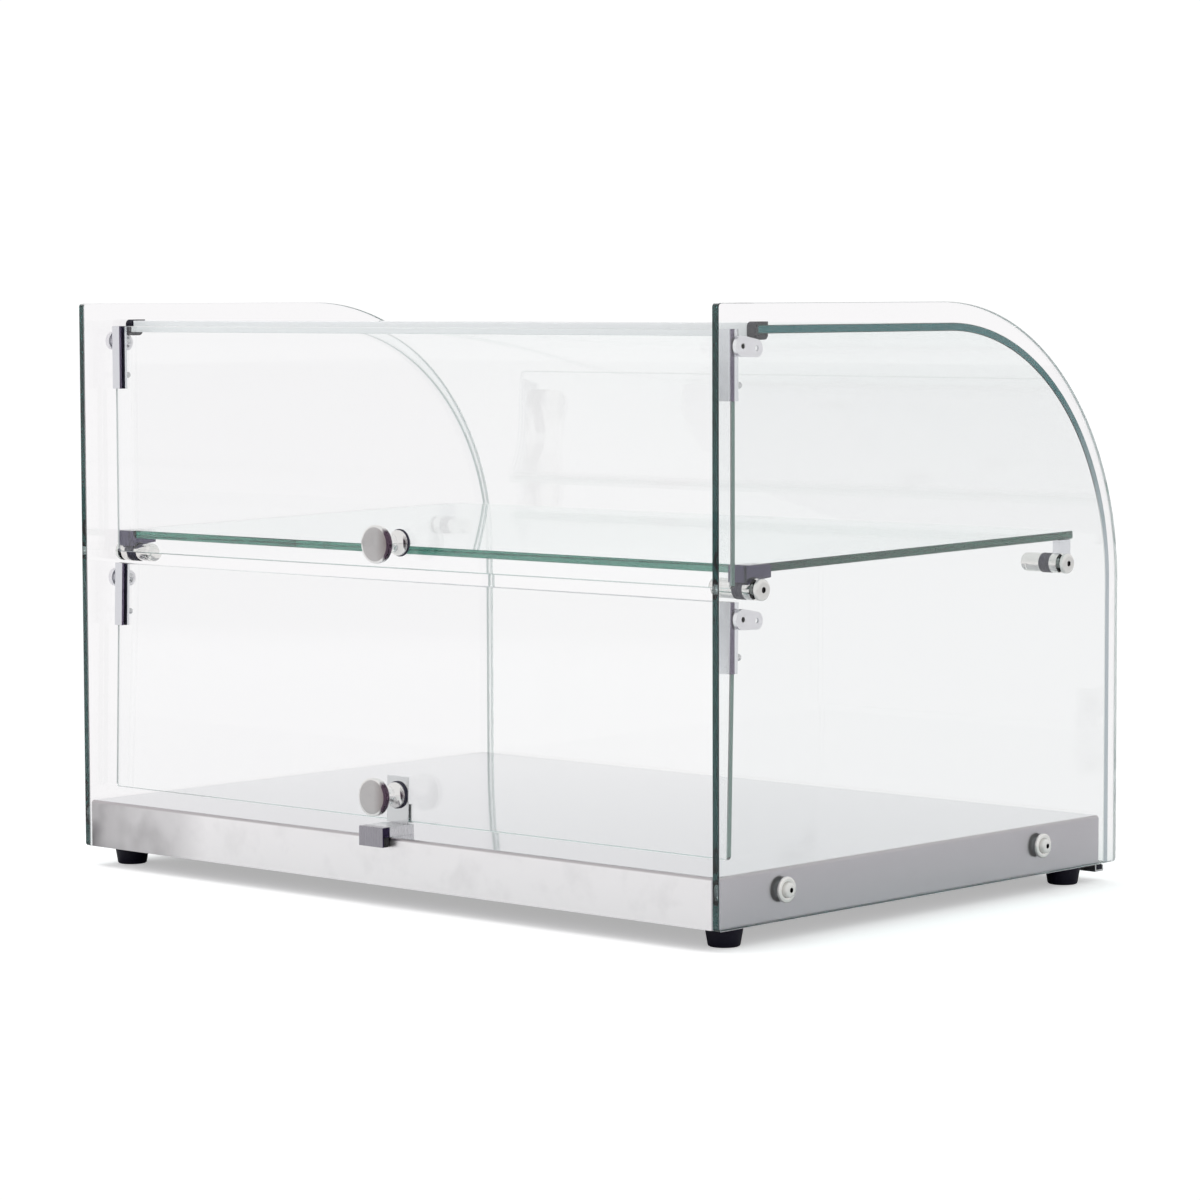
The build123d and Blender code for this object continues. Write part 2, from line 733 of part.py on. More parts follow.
def knob_washers(pivot_z, stand):
    outer = post(knob_washer_radius, 0, knob_washer, 0, 0)
    outer -= post(knob_screw_radius + hole_clearance, -1, knob_washer + 1, 0, 0)
    outer = knob_place(pivot_z, stand) * outer
    seat = -door_glass_thickness
    inner = post(inner_washer_radius, seat - inner_washer, seat, 0, 0)
    inner -= post(knob_screw_radius + hole_clearance, seat - inner_washer - 1, seat + 1, 0, 0)
    return [outer, knob_place(pivot_z, 0) * inner]


def knob_screw(pivot_z, stand):
    seat = -door_glass_thickness - inner_washer
    head = post(knob_screw_head_radius, seat - knob_screw_head, seat, 0, 0)
    head = fillet(head.faces().sort_by(Axis.Z)[0].edges(), 1.2)
    shank = post(knob_screw_radius, seat, stand + knob_washer + knob_bore_depth - 1.0, 0, 0)
    socket = hexagon_z(2.6, seat - knob_screw_head - 1, seat - 1.0, 0, 0)
    return knob_place(pivot_z, 0) * (head + shank - socket)


# Catch

def strike_clip():
    """Steel clip folded round the bottom edge of the lower door, held by the knob."""
    low = lower_door_bottom_z
    path = Polyline(
        (door_y, low + strike_height), (door_y, low), (door_inner_y, low), (door_inner_y, low + strike_back),
    )
    clip = across(strip(path, strike_sheet, Side.RIGHT), strike_width / 2)
    hole = knob_screw_radius + hole_clearance
    return clip - spoke(hole, door_y - strike_sheet - 1, door_y + 1, 0, lower_pivot_z - knob_height)


def catch_keeper():
    """Steel keeper: a front plate, and the bar on the deck that the strike hangs over."""
    front = rear_y - catch_reach
    low = deck_z - catch_drop
    outline = Polyline(
        (front, low), (front, catch_top_z), (rear_y + catch_length, catch_top_z),
        (rear_y + catch_length, deck_z), (front + catch_plate, deck_z), (front + catch_plate, low), close=True,
    )
    keeper = across(make_face(outline), catch_width / 2)
    return fillet(keeper.edges().filter_by(Axis.X).group_by(Axis.Z)[-1], 0.6)


def catch_magnet():
    """Magnet block between the front plate of the keeper and the rear wall of the pan."""
    front = rear_y - catch_reach + catch_plate
    magnet = block((-catch_width / 2, catch_width / 2), (front, rear_y), (deck_z - catch_drop, deck_z))
    return fillet(magnet.edges().filter_by(Axis.Z), magnet_corner)


# Assembly

def lean_out(pieces):
    """Swings pieces of the lower door to where the magnet holds them."""
    hinge = Axis((0, pivot_y, lower_pivot_z), (1, 0, 0))
    return [piece.rotate(hinge, -lower_lean) for piece in pieces]


def door_pieces(prefix, pivot_z, stand):
    return {
        prefix + "_door_glass": [door_glass(pivot_z)],
        prefix + "_door_clamps": door_clamps(pivot_z),
        prefix + "_clamp_liners": clamp_liners(pivot_z),
        prefix + "_clamp_screws": set_screws(pivot_z),
        prefix + "_knob": [knob(pivot_z, stand)],
        prefix + "_knob_washers": knob_washers(pivot_z, stand),
        prefix + "_knob_screw": [knob_screw(pivot_z, stand)],
    }


right_side = side_glass()
nodes = {
    "base_pan": [base_pan()],
    "side_glass_right": [right_side],
    "side_glass_left": [mirror(right_side, about=Plane.YZ)],
    "bent_front_glass": [bent_glass()],
    "shelf_glass": [shelf_glass()],
    "roof_edge_trim": [roof_trim()],
    "roof_corner_cushions": roof_cushions(),
    "front_gutter": [gutter()],
    "gutter_cord": [gutter_cord()],
    "gutter_rivets": gutter_rivets(),
    "feet": feet(),
    "foot_washers": foot_washers(),
    "foot_screws": foot_screws(),
    "foot_nuts": foot_nuts(),
    "base_screws": base_screws(),
    "base_cup_washers": base_cup_washers(),
    "base_bushes": base_bushes(),
    "base_nuts": base_nuts(),
    "shelf_pegs": shelf_pegs(),
    "peg_collars": peg_collars(),
    "peg_flanges": peg_flanges(),
    "peg_caps": peg_caps(),
    "peg_gaskets": peg_gaskets(),
    "shelf_corner_rests": shelf_corner_rests(),
    "shelf_front_pads": shelf_front_pads(),
    "hinge_plates": hinge_plates(),
    "hinge_pins": hinge_pins(),
    "catch_keeper": [catch_keeper()],
    "catch_magnet": [catch_magnet()],
}
nodes.update(door_pieces("upper", upper_pivot_z, 0))
lower = door_pieces("lower", lower_pivot_z, strike_sheet)
lower["strike_clip"] = [strike_clip()]
nodes.update({name: lean_out(pieces) for name, pieces in lower.items()})

os.makedirs("parts", exist_ok=True)
for name, pieces in nodes.items():
    solids = [solid for piece in pieces for solid in piece.solids()]
    export_step(Compound(solids), f"parts/{name}.step")
print(len(nodes), "nodes,", "shelf tilt", round(shelf_tilt, 2), "degrees")
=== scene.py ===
import math

import bpy
import bmesh
from mathutils import Matrix, Vector


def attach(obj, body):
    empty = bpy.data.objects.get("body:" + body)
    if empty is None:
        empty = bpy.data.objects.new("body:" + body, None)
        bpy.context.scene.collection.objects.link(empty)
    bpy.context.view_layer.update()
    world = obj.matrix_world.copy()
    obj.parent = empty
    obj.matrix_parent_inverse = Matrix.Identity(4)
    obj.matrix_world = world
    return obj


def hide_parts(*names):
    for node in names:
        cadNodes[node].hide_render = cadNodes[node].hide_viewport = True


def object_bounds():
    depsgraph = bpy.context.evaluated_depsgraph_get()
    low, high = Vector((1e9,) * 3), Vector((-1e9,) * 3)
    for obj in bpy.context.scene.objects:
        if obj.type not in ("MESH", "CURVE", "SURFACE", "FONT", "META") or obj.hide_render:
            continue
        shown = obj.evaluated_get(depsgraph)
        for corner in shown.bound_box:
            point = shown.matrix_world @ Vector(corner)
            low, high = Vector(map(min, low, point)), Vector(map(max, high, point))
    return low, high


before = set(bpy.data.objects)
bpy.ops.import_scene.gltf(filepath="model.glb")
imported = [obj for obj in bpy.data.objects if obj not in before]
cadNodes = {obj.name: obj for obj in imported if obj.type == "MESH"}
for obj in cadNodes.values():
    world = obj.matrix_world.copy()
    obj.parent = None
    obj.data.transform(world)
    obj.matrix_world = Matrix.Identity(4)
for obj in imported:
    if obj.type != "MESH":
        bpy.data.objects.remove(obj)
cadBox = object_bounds()
print("frame loaded with", len(cadNodes), "nodes")

mm = 0.001
quarter = 0.5 * math.pi
scene = bpy.context.scene
depsgraph = bpy.context.evaluated_depsgraph_get


# node helpers

# each value is a link from a socket, or the number, colour or vector itself
def plug(tree, node, values):
    for key, value in values.items():
        socket = node.inputs[key]
        if isinstance(value, bpy.types.NodeSocket):
            tree.links.new(value, socket)
        else:
            socket.default_value = (*value, 1) if socket.type == "RGBA" else value


def addNode(tree, kind, values=None, **settings):
    node = tree.nodes.new(kind)
    for key, value in settings.items():
        setattr(node, key, value)
    plug(tree, node, values or {})
    return node.outputs


def mathNode(tree, operation, *values):
    return addNode(tree, "ShaderNodeMath", dict(enumerate(values)), operation=operation)[0]


def vectorNode(tree, operation, *values):
    outputs = addNode(tree, "ShaderNodeVectorMath", dict(enumerate(values)), operation=operation)
    return outputs["Value" if operation == "LENGTH" else "Vector"]


def rangeNode(tree, value, low, high, newLow=0.0, newHigh=1.0, curve="LINEAR"):
    values = {"Value": value, "From Min": low, "From Max": high, "To Min": newLow, "To Max": newHigh}
    return addNode(tree, "ShaderNodeMapRange", values, interpolation_type=curve)["Result"]


def noiseNode(tree, vector, scale, detail, roughness=0.5):
    values = {"Vector": vector, "Scale": scale, "Detail": detail, "Roughness": roughness}
    return addNode(tree, "ShaderNodeTexNoise", values)["Fac"]


def splitAxes(tree, vector):
    return addNode(tree, "ShaderNodeSeparateXYZ", {0: vector})


def faceNormal(tree):
    return splitAxes(tree, addNode(tree, "ShaderNodeNewGeometry")["Normal"])


def markedBy(tree, name):
    return addNode(tree, "ShaderNodeAttribute", attribute_name=name)["Fac"]


def blend(tree, factor, first, second, kind="RGBA"):
    values = {"Factor": factor, "A": first, "B": second}
    return addNode(tree, "ShaderNodeMix", values, data_type=kind)["Result"]


def mixShaders(tree, factor, first, second):
    return addNode(tree, "ShaderNodeMixShader", {0: factor, 1: first, 2: second})[0]


def addBump(tree, shader, height, strength, distance):
    bump = addNode(tree, "ShaderNodeBump", {"Strength": strength, "Distance": distance, "Height": height})
    plug(tree, shader, {"Normal": bump["Normal"]})


def newGroup(kind, name, inputs, outputs):
    group = bpy.data.node_groups.new(name, kind)
    for label, socketKind, value in inputs:
        socket = group.interface.new_socket(label, in_out="INPUT", socket_type=socketKind)
        if value is not None:
            socket.default_value = value
    for label, socketKind in outputs:
        group.interface.new_socket(label, in_out="OUTPUT", socket_type=socketKind)
    return group, group.nodes.new("NodeGroupInput").outputs, group.nodes.new("NodeGroupOutput")


def newFinish(name, colour, metallic, roughness):
    material = bpy.data.materials.new(name)
    material.use_nodes = True
    tree = material.node_tree
    shader = tree.nodes["Principled BSDF"]
    plug(tree, shader, {"Base Color": colour, "Metallic": metallic, "Roughness": roughness})
    where = addNode(tree, "ShaderNodeTexCoord")["Object"]
    return material, tree, shader, where


def showSurface(tree, surface):
    plug(tree, tree.nodes["Material Output"], {"Surface": surface})


# camera, light and floor

photoCamera = {
    "place": (1.7900, -1.9370, 0.3799),
    "yaw": 42.57,  # degrees, to the left of +Y
    "pitch": -4.34,
    "roll": -0.18,
    "lens": 121.3,
    "clip": (0.05, 60.0),
}

studio = {
    "background": (1.05, 1.05, 1.05),  # white for the camera
    "behindGlass": (0.995, 0.967, 0.977),  # white as it comes through the panes
    "mirrored": (0.93, 0.93, 0.93),  # what shiny surfaces reflect
    "fill": (0.62, 0.62, 0.62),  # soft light from all round
    "floorColour": (0.86, 0.86, 0.865),
    "floorRoughness": 0.9,
    "floorPlain": (0.0, 0.0, 0.0),
    "floorLift": (0.42, 0.42, 0.42),  # lightens the shadow under the case
    "floorLiftBehind": (0.12, 0.12, 0.12),
    "floorReach": (0.01, 0.25),  # where the floor turns from lit to plain white
    "floorSize": 30.0,
    "softboxes": {
        "boxAbove": {"place": (-0.6, -0.4, 2.6), "size": (2.4, 2.0), "watts": 26.0},
        "boxLeft": {"place": (-2.4, -2.2, 1.5), "size": (1.6, 1.8), "watts": 22.0},
        "boxFront": {"place": (0.8, 3.0, 1.8), "size": (2.4, 1.4), "watts": 14.0},
    },
    "aim": (0.0, 0.0, 0.17),
    "bounces": 72,  # light runs along inside the panes to their edges
    "clearLayers": 24,
}


def lookMatrix(place, target):
    back = (Vector(place) - Vector(target)).normalized()
    return Matrix.Translation(place) @ back.to_track_quat("Z", "Y").to_matrix().to_4x4()


def addCamera(look):
    yaw, pitch, roll = (math.radians(look[key]) for key in ("yaw", "pitch", "roll"))
    level = math.cos(pitch)
    ahead = Vector((-math.sin(yaw) * level, math.cos(yaw) * level, math.sin(pitch)))
    side = Vector((math.cos(yaw), math.sin(yaw), 0))
    up = side.cross(ahead)
    turnedSide = side * math.cos(roll) + up * math.sin(roll)
    turnedUp = up * math.cos(roll) - side * math.sin(roll)
    turn = Matrix((turnedSide, turnedUp, -ahead)).transposed()
    lens = bpy.data.cameras.new("photoCamera")
    lens.lens = look["lens"]
    lens.clip_start, lens.clip_end = look["clip"]
    camera = bpy.data.objects.new("photoCamera", lens)
    scene.collection.objects.link(camera)
    camera.matrix_world = Matrix.Translation(look["place"]) @ turn.to_4x4()
    scene.camera = camera


def addSoftboxes(boxes, aim):
    for name, box in boxes.items():
        lamp = bpy.data.lights.new(name, "AREA")
        lamp.shape = "RECTANGLE"
        lamp.size, lamp.size_y = box["size"]
        lamp.energy = box["watts"]
        holder = bpy.data.objects.new(name, lamp)
        scene.collection.objects.link(holder)
        holder.matrix_world = lookMatrix(box["place"], aim)
        holder.visible_glossy = False  # metal and glass mirror the plain white world instead
        holder.visible_transmission = False


def plainSheet(name, width):
    mesh = bpy.data.meshes.new(name)
    half = width / 2
    corners = [(-half, -half, 0), (half, -half, 0), (half, half, 0), (-half, half, 0)]
    mesh.from_pydata(corners, [], [(0, 1, 2, 3)])
    sheet = bpy.data.objects.new(name, mesh)
    scene.collection.objects.link(sheet)
    return sheet


# one colour for each kind of ray, the later ones over the earlier
def rayColour(tree, level, start, kinds):
    path = addNode(tree, "ShaderNodeLightPath")
    colour = level[start]
    for key, ray in kinds:
        colour = blend(tree, path[ray], colour, level[key])
    return colour


def addWorld(level):
    world = bpy.data.worlds.new("studioWhite")
    world.use_nodes = True
    tree = world.node_tree
    tree.nodes.clear()
    kinds = (
        ("mirrored", "Is Glossy Ray"),
        ("behindGlass", "Is Transmission Ray"),
        ("background", "Is Camera Ray"),
    )
    shade = addNode(tree, "ShaderNodeBackground", {"Color": rayColour(tree, level, "fill", kinds)})
    addNode(tree, "ShaderNodeOutputWorld", {"Surface": shade[0]})
    scene.world = world


# the floor is lifted to white for the camera, except close to the case, where its soft shadow stays
def addFloor(level):
    floor = plainSheet("floor", level["floorSize"])
    colour, roughness = level["floorColour"], level["floorRoughness"]
    material, tree, shader, where = newFinish("paleFloor", colour, 0.0, roughness)
    lifts = (("floorLiftBehind", "Is Transmission Ray"), ("floorLift", "Is Camera Ray"))
    plug(tree, shader, {
        "Specular IOR Level": 0.0,
        "Emission Strength": 1.0,
        "Emission Color": rayColour(tree, level, "floorPlain", lifts),
    })
    path = addNode(tree, "ShaderNodeLightPath")
    seen = mathNode(tree, "MAXIMUM", path["Is Camera Ray"], path["Is Transmission Ray"])
    corner = (cadBox[1][0], cadBox[1][1], 0)
    beyond = vectorNode(tree, "SUBTRACT", vectorNode(tree, "ABSOLUTE", where), corner)
    reach = vectorNode(tree, "LENGTH", vectorNode(tree, "MAXIMUM", beyond, (0, 0, 0)))
    far = rangeNode(tree, reach, *level["floorReach"], curve="SMOOTHSTEP")
    whites = (("behindGlass", "Is Transmission Ray"),)
    white = addNode(tree, "ShaderNodeEmission", {"Color": rayColour(tree, level, "background", whites)})
    share = mathNode(tree, "MULTIPLY", seen, far)
    showSurface(tree, mixShaders(tree, share, shader.outputs[0], white[0]))
    floor.data.materials.append(material)


scene.view_settings.view_transform = "Standard"
for limit in ("max_bounces", "glossy_bounces", "transmission_bounces"):
    setattr(scene.cycles, limit, studio["bounces"])
scene.cycles.transparent_max_bounces = studio["clearLayers"]
addCamera(photoCamera)
addSoftboxes(studio["softboxes"], studio["aim"])
addWorld(studio)
addFloor(studio)
print("camera, light and floor are in place")


# shader groups

brushing = {
    "stretch": (6.0, 900.0, 900.0),
    "lines": {"scale": 1.0, "detail": 5.0, "roughness": 0.6},
    "lineRange": (0.3, 0.7),
    "drift": {"scale": 14.0, "detail": 3.0, "roughness": 0.55},
}

handling = {
    "smearScale": 9.0,
    "speckScale": 700.0,
    "smear": {"detail": 4.0, "roughness": 0.6},
    "smearRange": (0.5, 0.78),
    "specks": {"detail": 1.0, "roughness": 0.5},
    "speckRange": (0.66, 0.74),
}


def makeBrushGroup(look):
    group, start, end = newGroup(
        "ShaderNodeTree",
        "brushLines",
        [("Vector", "NodeSocketVector", None), ("Stretch", "NodeSocketVector", look["stretch"])],
        [("Lines", "NodeSocketFloat"), ("Drift", "NodeSocketFloat")],
    )
    stretched = vectorNode(group, "MULTIPLY", start["Vector"], start["Stretch"])
    lines = noiseNode(group, stretched, **look["lines"])
    drift = noiseNode(group, start["Vector"], **look["drift"])
    plug(group, end, {"Lines": rangeNode(group, lines, *look["lineRange"]), "Drift": drift})
    return group


def makeHandlingGroup(look):
    group, start, end = newGroup(
        "ShaderNodeTree",
        "handlingMarks",
        [("Vector", "NodeSocketVector", None), ("Smear Scale", "NodeSocketFloat", look["smearScale"]),
         ("Speck Scale", "NodeSocketFloat", look["speckScale"])],
        [("Smear", "NodeSocketFloat"), ("Specks", "NodeSocketFloat")],
    )
    smear = noiseNode(group, start["Vector"], start["Smear Scale"], **look["smear"])
    specks = noiseNode(group, start["Vector"], start["Speck Scale"], **look["specks"])
    plug(group, end, {
        "Smear": rangeNode(group, smear, *look["smearRange"]),
        "Specks": rangeNode(group, specks, *look["speckRange"]),
    })
    return group


brushGroup = makeBrushGroup(brushing)
handlingGroup = makeHandlingGroup(handling)


def addBrush(tree, where, stretch):
    return addNode(tree, "ShaderNodeGroup", {"Vector": where, "Stretch": stretch}, node_tree=brushGroup)


def addMarks(tree, where, smearScale, speckScale=handling["speckScale"]):
    values = {"Vector": where, "Smear Scale": smearScale, "Speck Scale": speckScale}
    return addNode(tree, "ShaderNodeGroup", values, node_tree=handlingGroup)


def scaledSmear(tree, marks, amount):
    return mathNode(tree, "MULTIPLY", marks["Smear"], amount)


# materials

def darker(colour, share):
    return tuple(share * part for part in colour)


glassLook = {
    "colour": (1.0, 1.0, 1.0),
    "ior": 1.52,
    "tint": (0.07, 0.53, 0.435),  # what the volume keeps of red, green and blue
    "sideTint": (0.0, 0.34, 0.325),
    "doorTint": (0.62, 0.83, 0.80),
    "tintDensity": 8.5,
    "shade": (0.93, 0.955, 0.95),
    "arrisRoughness": 0.28,
    "smearRoughness": 0.002,
    "smearScale": 7.0,
    "seam": (0.80, 0.805, 0.81),  # ground edges look pale at a glancing angle
    "seamGlance": (0.4, 0.75),
    "seamInside": 0.6,
}


def floatGlass(name, look, tint):
    material, tree, shader, where = newFinish(name, look["colour"], 0.0, 0.0)
    smear = scaledSmear(tree, addMarks(tree, where, look["smearScale"]), look["smearRoughness"])
    ground = mathNode(tree, "MULTIPLY", markedBy(tree, "arris"), look["arrisRoughness"])
    plug(tree, shader, {
        "Transmission Weight": 1.0,
        "IOR": look["ior"],
        "Roughness": mathNode(tree, "MAXIMUM", smear, ground),
    })
    glance = rangeNode(tree, addNode(tree, "ShaderNodeLayerWeight")["Facing"], *look["seamGlance"])
    backs = addNode(tree, "ShaderNodeNewGeometry")["Backfacing"]
    inside = mathNode(tree, "MULTIPLY", backs, look["seamInside"])
    share = mathNode(tree, "MULTIPLY", mathNode(tree, "MAXIMUM", glance, inside), markedBy(tree, "seamed"))
    seam = addNode(tree, "ShaderNodeBsdfDiffuse", {"Color": look["seam"]})
    edged = mixShaders(tree, share, shader.outputs[0], seam[0])
    path = addNode(tree, "ShaderNodeLightPath")
    lightRay = mathNode(tree, "MAXIMUM", path["Is Shadow Ray"], path["Is Diffuse Ray"])
    clear = addNode(tree, "ShaderNodeBsdfTransparent", {"Color": look["shade"]})
    showSurface(tree, mixShaders(tree, lightRay, edged, clear[0]))
    values = {"Color": look[tint], "Density": look["tintDensity"]}
    green = addNode(tree, "ShaderNodeVolumeAbsorption", values)
    plug(tree, tree.nodes["Material Output"], {"Volume": green[0]})
    return material


# the cut ends of the bent pane are green round the bend, with a painted pale reflection down the front
endLook = {
    "paneEnds": {"low": (0.66, 0.68, 0.74), "high": (0.005, 0.16, 0.17), "between": (0.225, 0.315)},
    "doorEnds": {"low": (0.20, 0.29, 0.265), "high": (0.20, 0.29, 0.265), "between": (0.1, 0.2)},
    "inside": (0.95, 0.95, 0.95),
    "roughness": 0.12,
    "specular": 0.2,
    "smearScale": 40.0,
    "wander": 0.02,
}


def cutEnds(name, look):
    low, high, between = (look[name][key] for key in ("low", "high", "between"))
    material, tree, shader, where = newFinish(name, high, 0.0, look["roughness"])
    wander = scaledSmear(tree, addMarks(tree, where, look["smearScale"]), look["wander"])
    height = mathNode(tree, "ADD", splitAxes(tree, where)["Z"], wander)
    # painted pale reflection low down, the green edge colour higher up
    colour = blend(tree, rangeNode(tree, height, *between), low, high)
    plug(tree, shader, {"Specular IOR Level": look["specular"], "Base Color": colour})
    backs = addNode(tree, "ShaderNodeNewGeometry")["Backfacing"]
    pale = addNode(tree, "ShaderNodeBsdfDiffuse", {"Color": look["inside"]})
    showSurface(tree, mixShaders(tree, backs, shader.outputs[0], pale[0]))
    return material


steelLook = {
    "wall": (0.90, 0.88, 0.89),
    # the colour of the real handling smears and of the painted dark reflection at the left end
    "wallSmearAndDarkReflection": (0.02, 0.01, 0.02),
    "darkReflectionBetween": (-0.275, -0.16),  # the left end of the pan is mottled and darker: a painted dark reflection
    "reflectionCloud": (0.4, 0.62, 0.5, 1.0),  # of the drift, and how far it blends to the painted dark reflection
    "smearScale": 26.0,
    "smear": 0.12,
    "endWallShade": (0.48, 0.46, 0.49),
    "endWallShadeFrom": (0.6, 0.8),  # painted shade on the end walls; each face colour blends in over this share of the normal
    # painted shade along the bend between the walls and the deck
    "bend": (0.50, 0.47, 0.485),
    "bendFrom": (0.15, 0.5),
    "foldShade": (0.06, 0.05, 0.09),  # painted shade along the fold at the foot of the walls
    "foldShadeFrom": (-0.04, -0.25),
    "deck": (0.645, 0.655, 0.675),
    "deckFrom": (0.93, 0.995),
    "wallRoughness": (0.28, 0.34),
    "deckRoughness": 0.07,
    "stretch": (5.0, 5.0, 1500.0),  # brushing runs level round the walls
    "bump": (0.05, 0.00004),
}


def panSteel(look):
    material, tree, shader, where = newFinish("panSteel", look["wall"], 1.0, look["wallRoughness"][0])
    brush = addBrush(tree, where, look["stretch"])
    normal = faceNormal(tree)
    deck = rangeNode(tree, normal["Z"], *look["deckFrom"])
    # painted dark reflection, mottled by the drift, over the left end; the smears are real handling marks
    leftEnd = rangeNode(tree, splitAxes(tree, where)["X"], *look["darkReflectionBetween"], 1.0, 0.0)
    reflectionCloud = mathNode(tree, "MULTIPLY", rangeNode(tree, brush["Drift"], *look["reflectionCloud"]), leftEnd)
    smear = scaledSmear(tree, addMarks(tree, where, look["smearScale"]), look["smear"])
    colour = blend(tree, mathNode(tree, "ADD", reflectionCloud, smear), look["wall"], look["wallSmearAndDarkReflection"])
    sideways = mathNode(tree, "ABSOLUTE", normal["X"])
    # painted shade on the end walls, along the bend and in the fold
    for key, mask in (
        ("endWallShade", rangeNode(tree, sideways, *look["endWallShadeFrom"])),
        ("bend", rangeNode(tree, normal["Z"], *look["bendFrom"])),
        ("foldShade", rangeNode(tree, normal["Z"], *look["foldShadeFrom"])),
        ("deck", deck),
    ):
        colour = blend(tree, mask, colour, look[key])
    rough = rangeNode(tree, brush["Lines"], 0.0, 1.0, *look["wallRoughness"])
    rough = blend(tree, deck, rough, look["deckRoughness"], "FLOAT")
    plug(tree, shader, {"Base Color": colour, "Roughness": rough})
    wallOnly = mathNode(tree, "SUBTRACT", 1.0, deck)
    addBump(tree, shader, mathNode(tree, "MULTIPLY", brush["Lines"], wallOnly), *look["bump"])
    return material


# fittings with a painted dark reflection on the right flank, up to a given Y
flankFacing = (0.5, 0.8)
catchShade = {
    "colour": (0.03, 0.022, 0.05),  # painted dark reflection on the keeper's front block
    "behind": (0.68, 0.68, 0.70),  # the bar on the deck, painted paler as a reflection
    "upToY": (-0.1936, -0.1926),
}
clampShade = {
    "colour": (0.11, 0.09, 0.14),  # painted dark reflection on the outer half of the clamps
    "upToY": (-0.1708, -0.1700),
}


def outerFlank(tree, where, shade):
    outer = rangeNode(tree, splitAxes(tree, where)["Y"], *shade["upToY"], 1.0, 0.0)
    flank = rangeNode(tree, faceNormal(tree)["X"], *flankFacing)
    return outer, mathNode(tree, "MULTIPLY", outer, flank)


chromeLook = {
    "marks": {"smearScale": 160.0, "speckScale": 2500.0},
    "speckShade": 0.8,
    "socket": (0.02, 0.018, 0.02),  # painted shade: the hexagon sockets are coloured black
}


def turnedChrome(name, colour, roughness, smear, metallic=1.0, shade=None):
    material, tree, shader, where = newFinish(name, colour, metallic, roughness)
    marks = addMarks(tree, where, **chromeLook["marks"])
    rough = mathNode(tree, "ADD", scaledSmear(tree, marks, smear), roughness)
    if shade:
        # painted dark reflection on the clamps' right flank
        surface = blend(tree, outerFlank(tree, where, shade)[1], colour, shade["colour"])
    else:
        speckled = blend(tree, marks["Specks"], colour, darker(colour, chromeLook["speckShade"]))
        # painted shade in the hexagon sockets
        surface = blend(tree, markedBy(tree, "satin"), speckled, chromeLook["socket"])
    plug(tree, shader, {"Base Color": surface, "Roughness": rough})
    return material


plateLook = {"driftShade": 0.86, "bump": (0.1, 0.00003)}


def brushedPlate(name, colour, stretch, roughness, shade=None):
    material, tree, shader, where = newFinish(name, colour, 1.0, roughness[0])
    brush = addBrush(tree, where, stretch)
    surface = blend(tree, brush["Drift"], colour, darker(colour, plateLook["driftShade"]))
    if shade:
        # painted pale reflection on the bar, painted dark reflection on the right flank
        outer, flank = outerFlank(tree, where, shade)
        surface = blend(tree, outer, shade["behind"], surface)
        surface = blend(tree, flank, surface, shade["colour"])
    rough = rangeNode(tree, brush["Lines"], 0.0, 1.0, *roughness)
    plug(tree, shader, {"Base Color": surface, "Roughness": rough})
    addBump(tree, shader, brush["Lines"], *plateLook["bump"])
    return material


knobLook = {
    "colour": (0.80, 0.79, 0.78),
    # painted dark reflection on the right side of the rim
    "rimShade": (0.09, 0.06, 0.085),
    "rimFrom": (0.0062, 0.0088),
    "faceColour": (0.50, 0.485, 0.485),
    "faceShade": (0.26, 0.22, 0.22),  # painted shade toward the face's right
    "faceFrom": (0.002, 0.012),
    "polish": 0.05,
    "satin": 0.27,
    "rings": 33600.0,  # radians of the turned rings per metre of radius
    "ringDepth": 0.05,
    "marks": {"smearScale": 120.0, "speckScale": 1800.0},
    "smear": 0.08,
    "bump": (0.08, 0.00003),
}


def knobMetal(look):
    material, tree, shader, where = newFinish("knobMetal", look["colour"], 1.0, look["polish"])
    face = markedBy(tree, "satin")
    rings = mathNode(tree, "SINE", mathNode(tree, "MULTIPLY", markedBy(tree, "turning"), look["rings"]))
    satin = mathNode(tree, "ADD", look["satin"], mathNode(tree, "MULTIPLY", rings, look["ringDepth"]))
    smear = scaledSmear(tree, addMarks(tree, where, **look["marks"]), look["smear"])
    rough = blend(tree, face, look["polish"], mathNode(tree, "ADD", satin, smear), "FLOAT")
    across = splitAxes(tree, where)["X"]
    # painted dark reflection on the rim's right, painted shade across the face to its right
    rim = blend(tree, rangeNode(tree, across, *look["rimFrom"]), look["colour"], look["rimShade"])
    disc = blend(tree, rangeNode(tree, across, *look["faceFrom"]), look["faceColour"], look["faceShade"])
    plug(tree, shader, {"Base Color": blend(tree, face, rim, disc), "Roughness": rough})
    addBump(tree, shader, mathNode(tree, "MULTIPLY", rings, face), *look["bump"])
    return material


mouldedLook = {
    "marks": {"smearScale": 60.0, "speckScale": 1400.0},
    "grainDetail": 3.0,
    "grainRange": (0.3, 0.7),
    "roughnessSpread": (-0.08, 0.1),
    "dust": (1.7, 0.01),  # times the colour, and added to it
    "smear": 0.35,
    "specks": 0.3,
    "bump": (0.25, 0.00006),
}


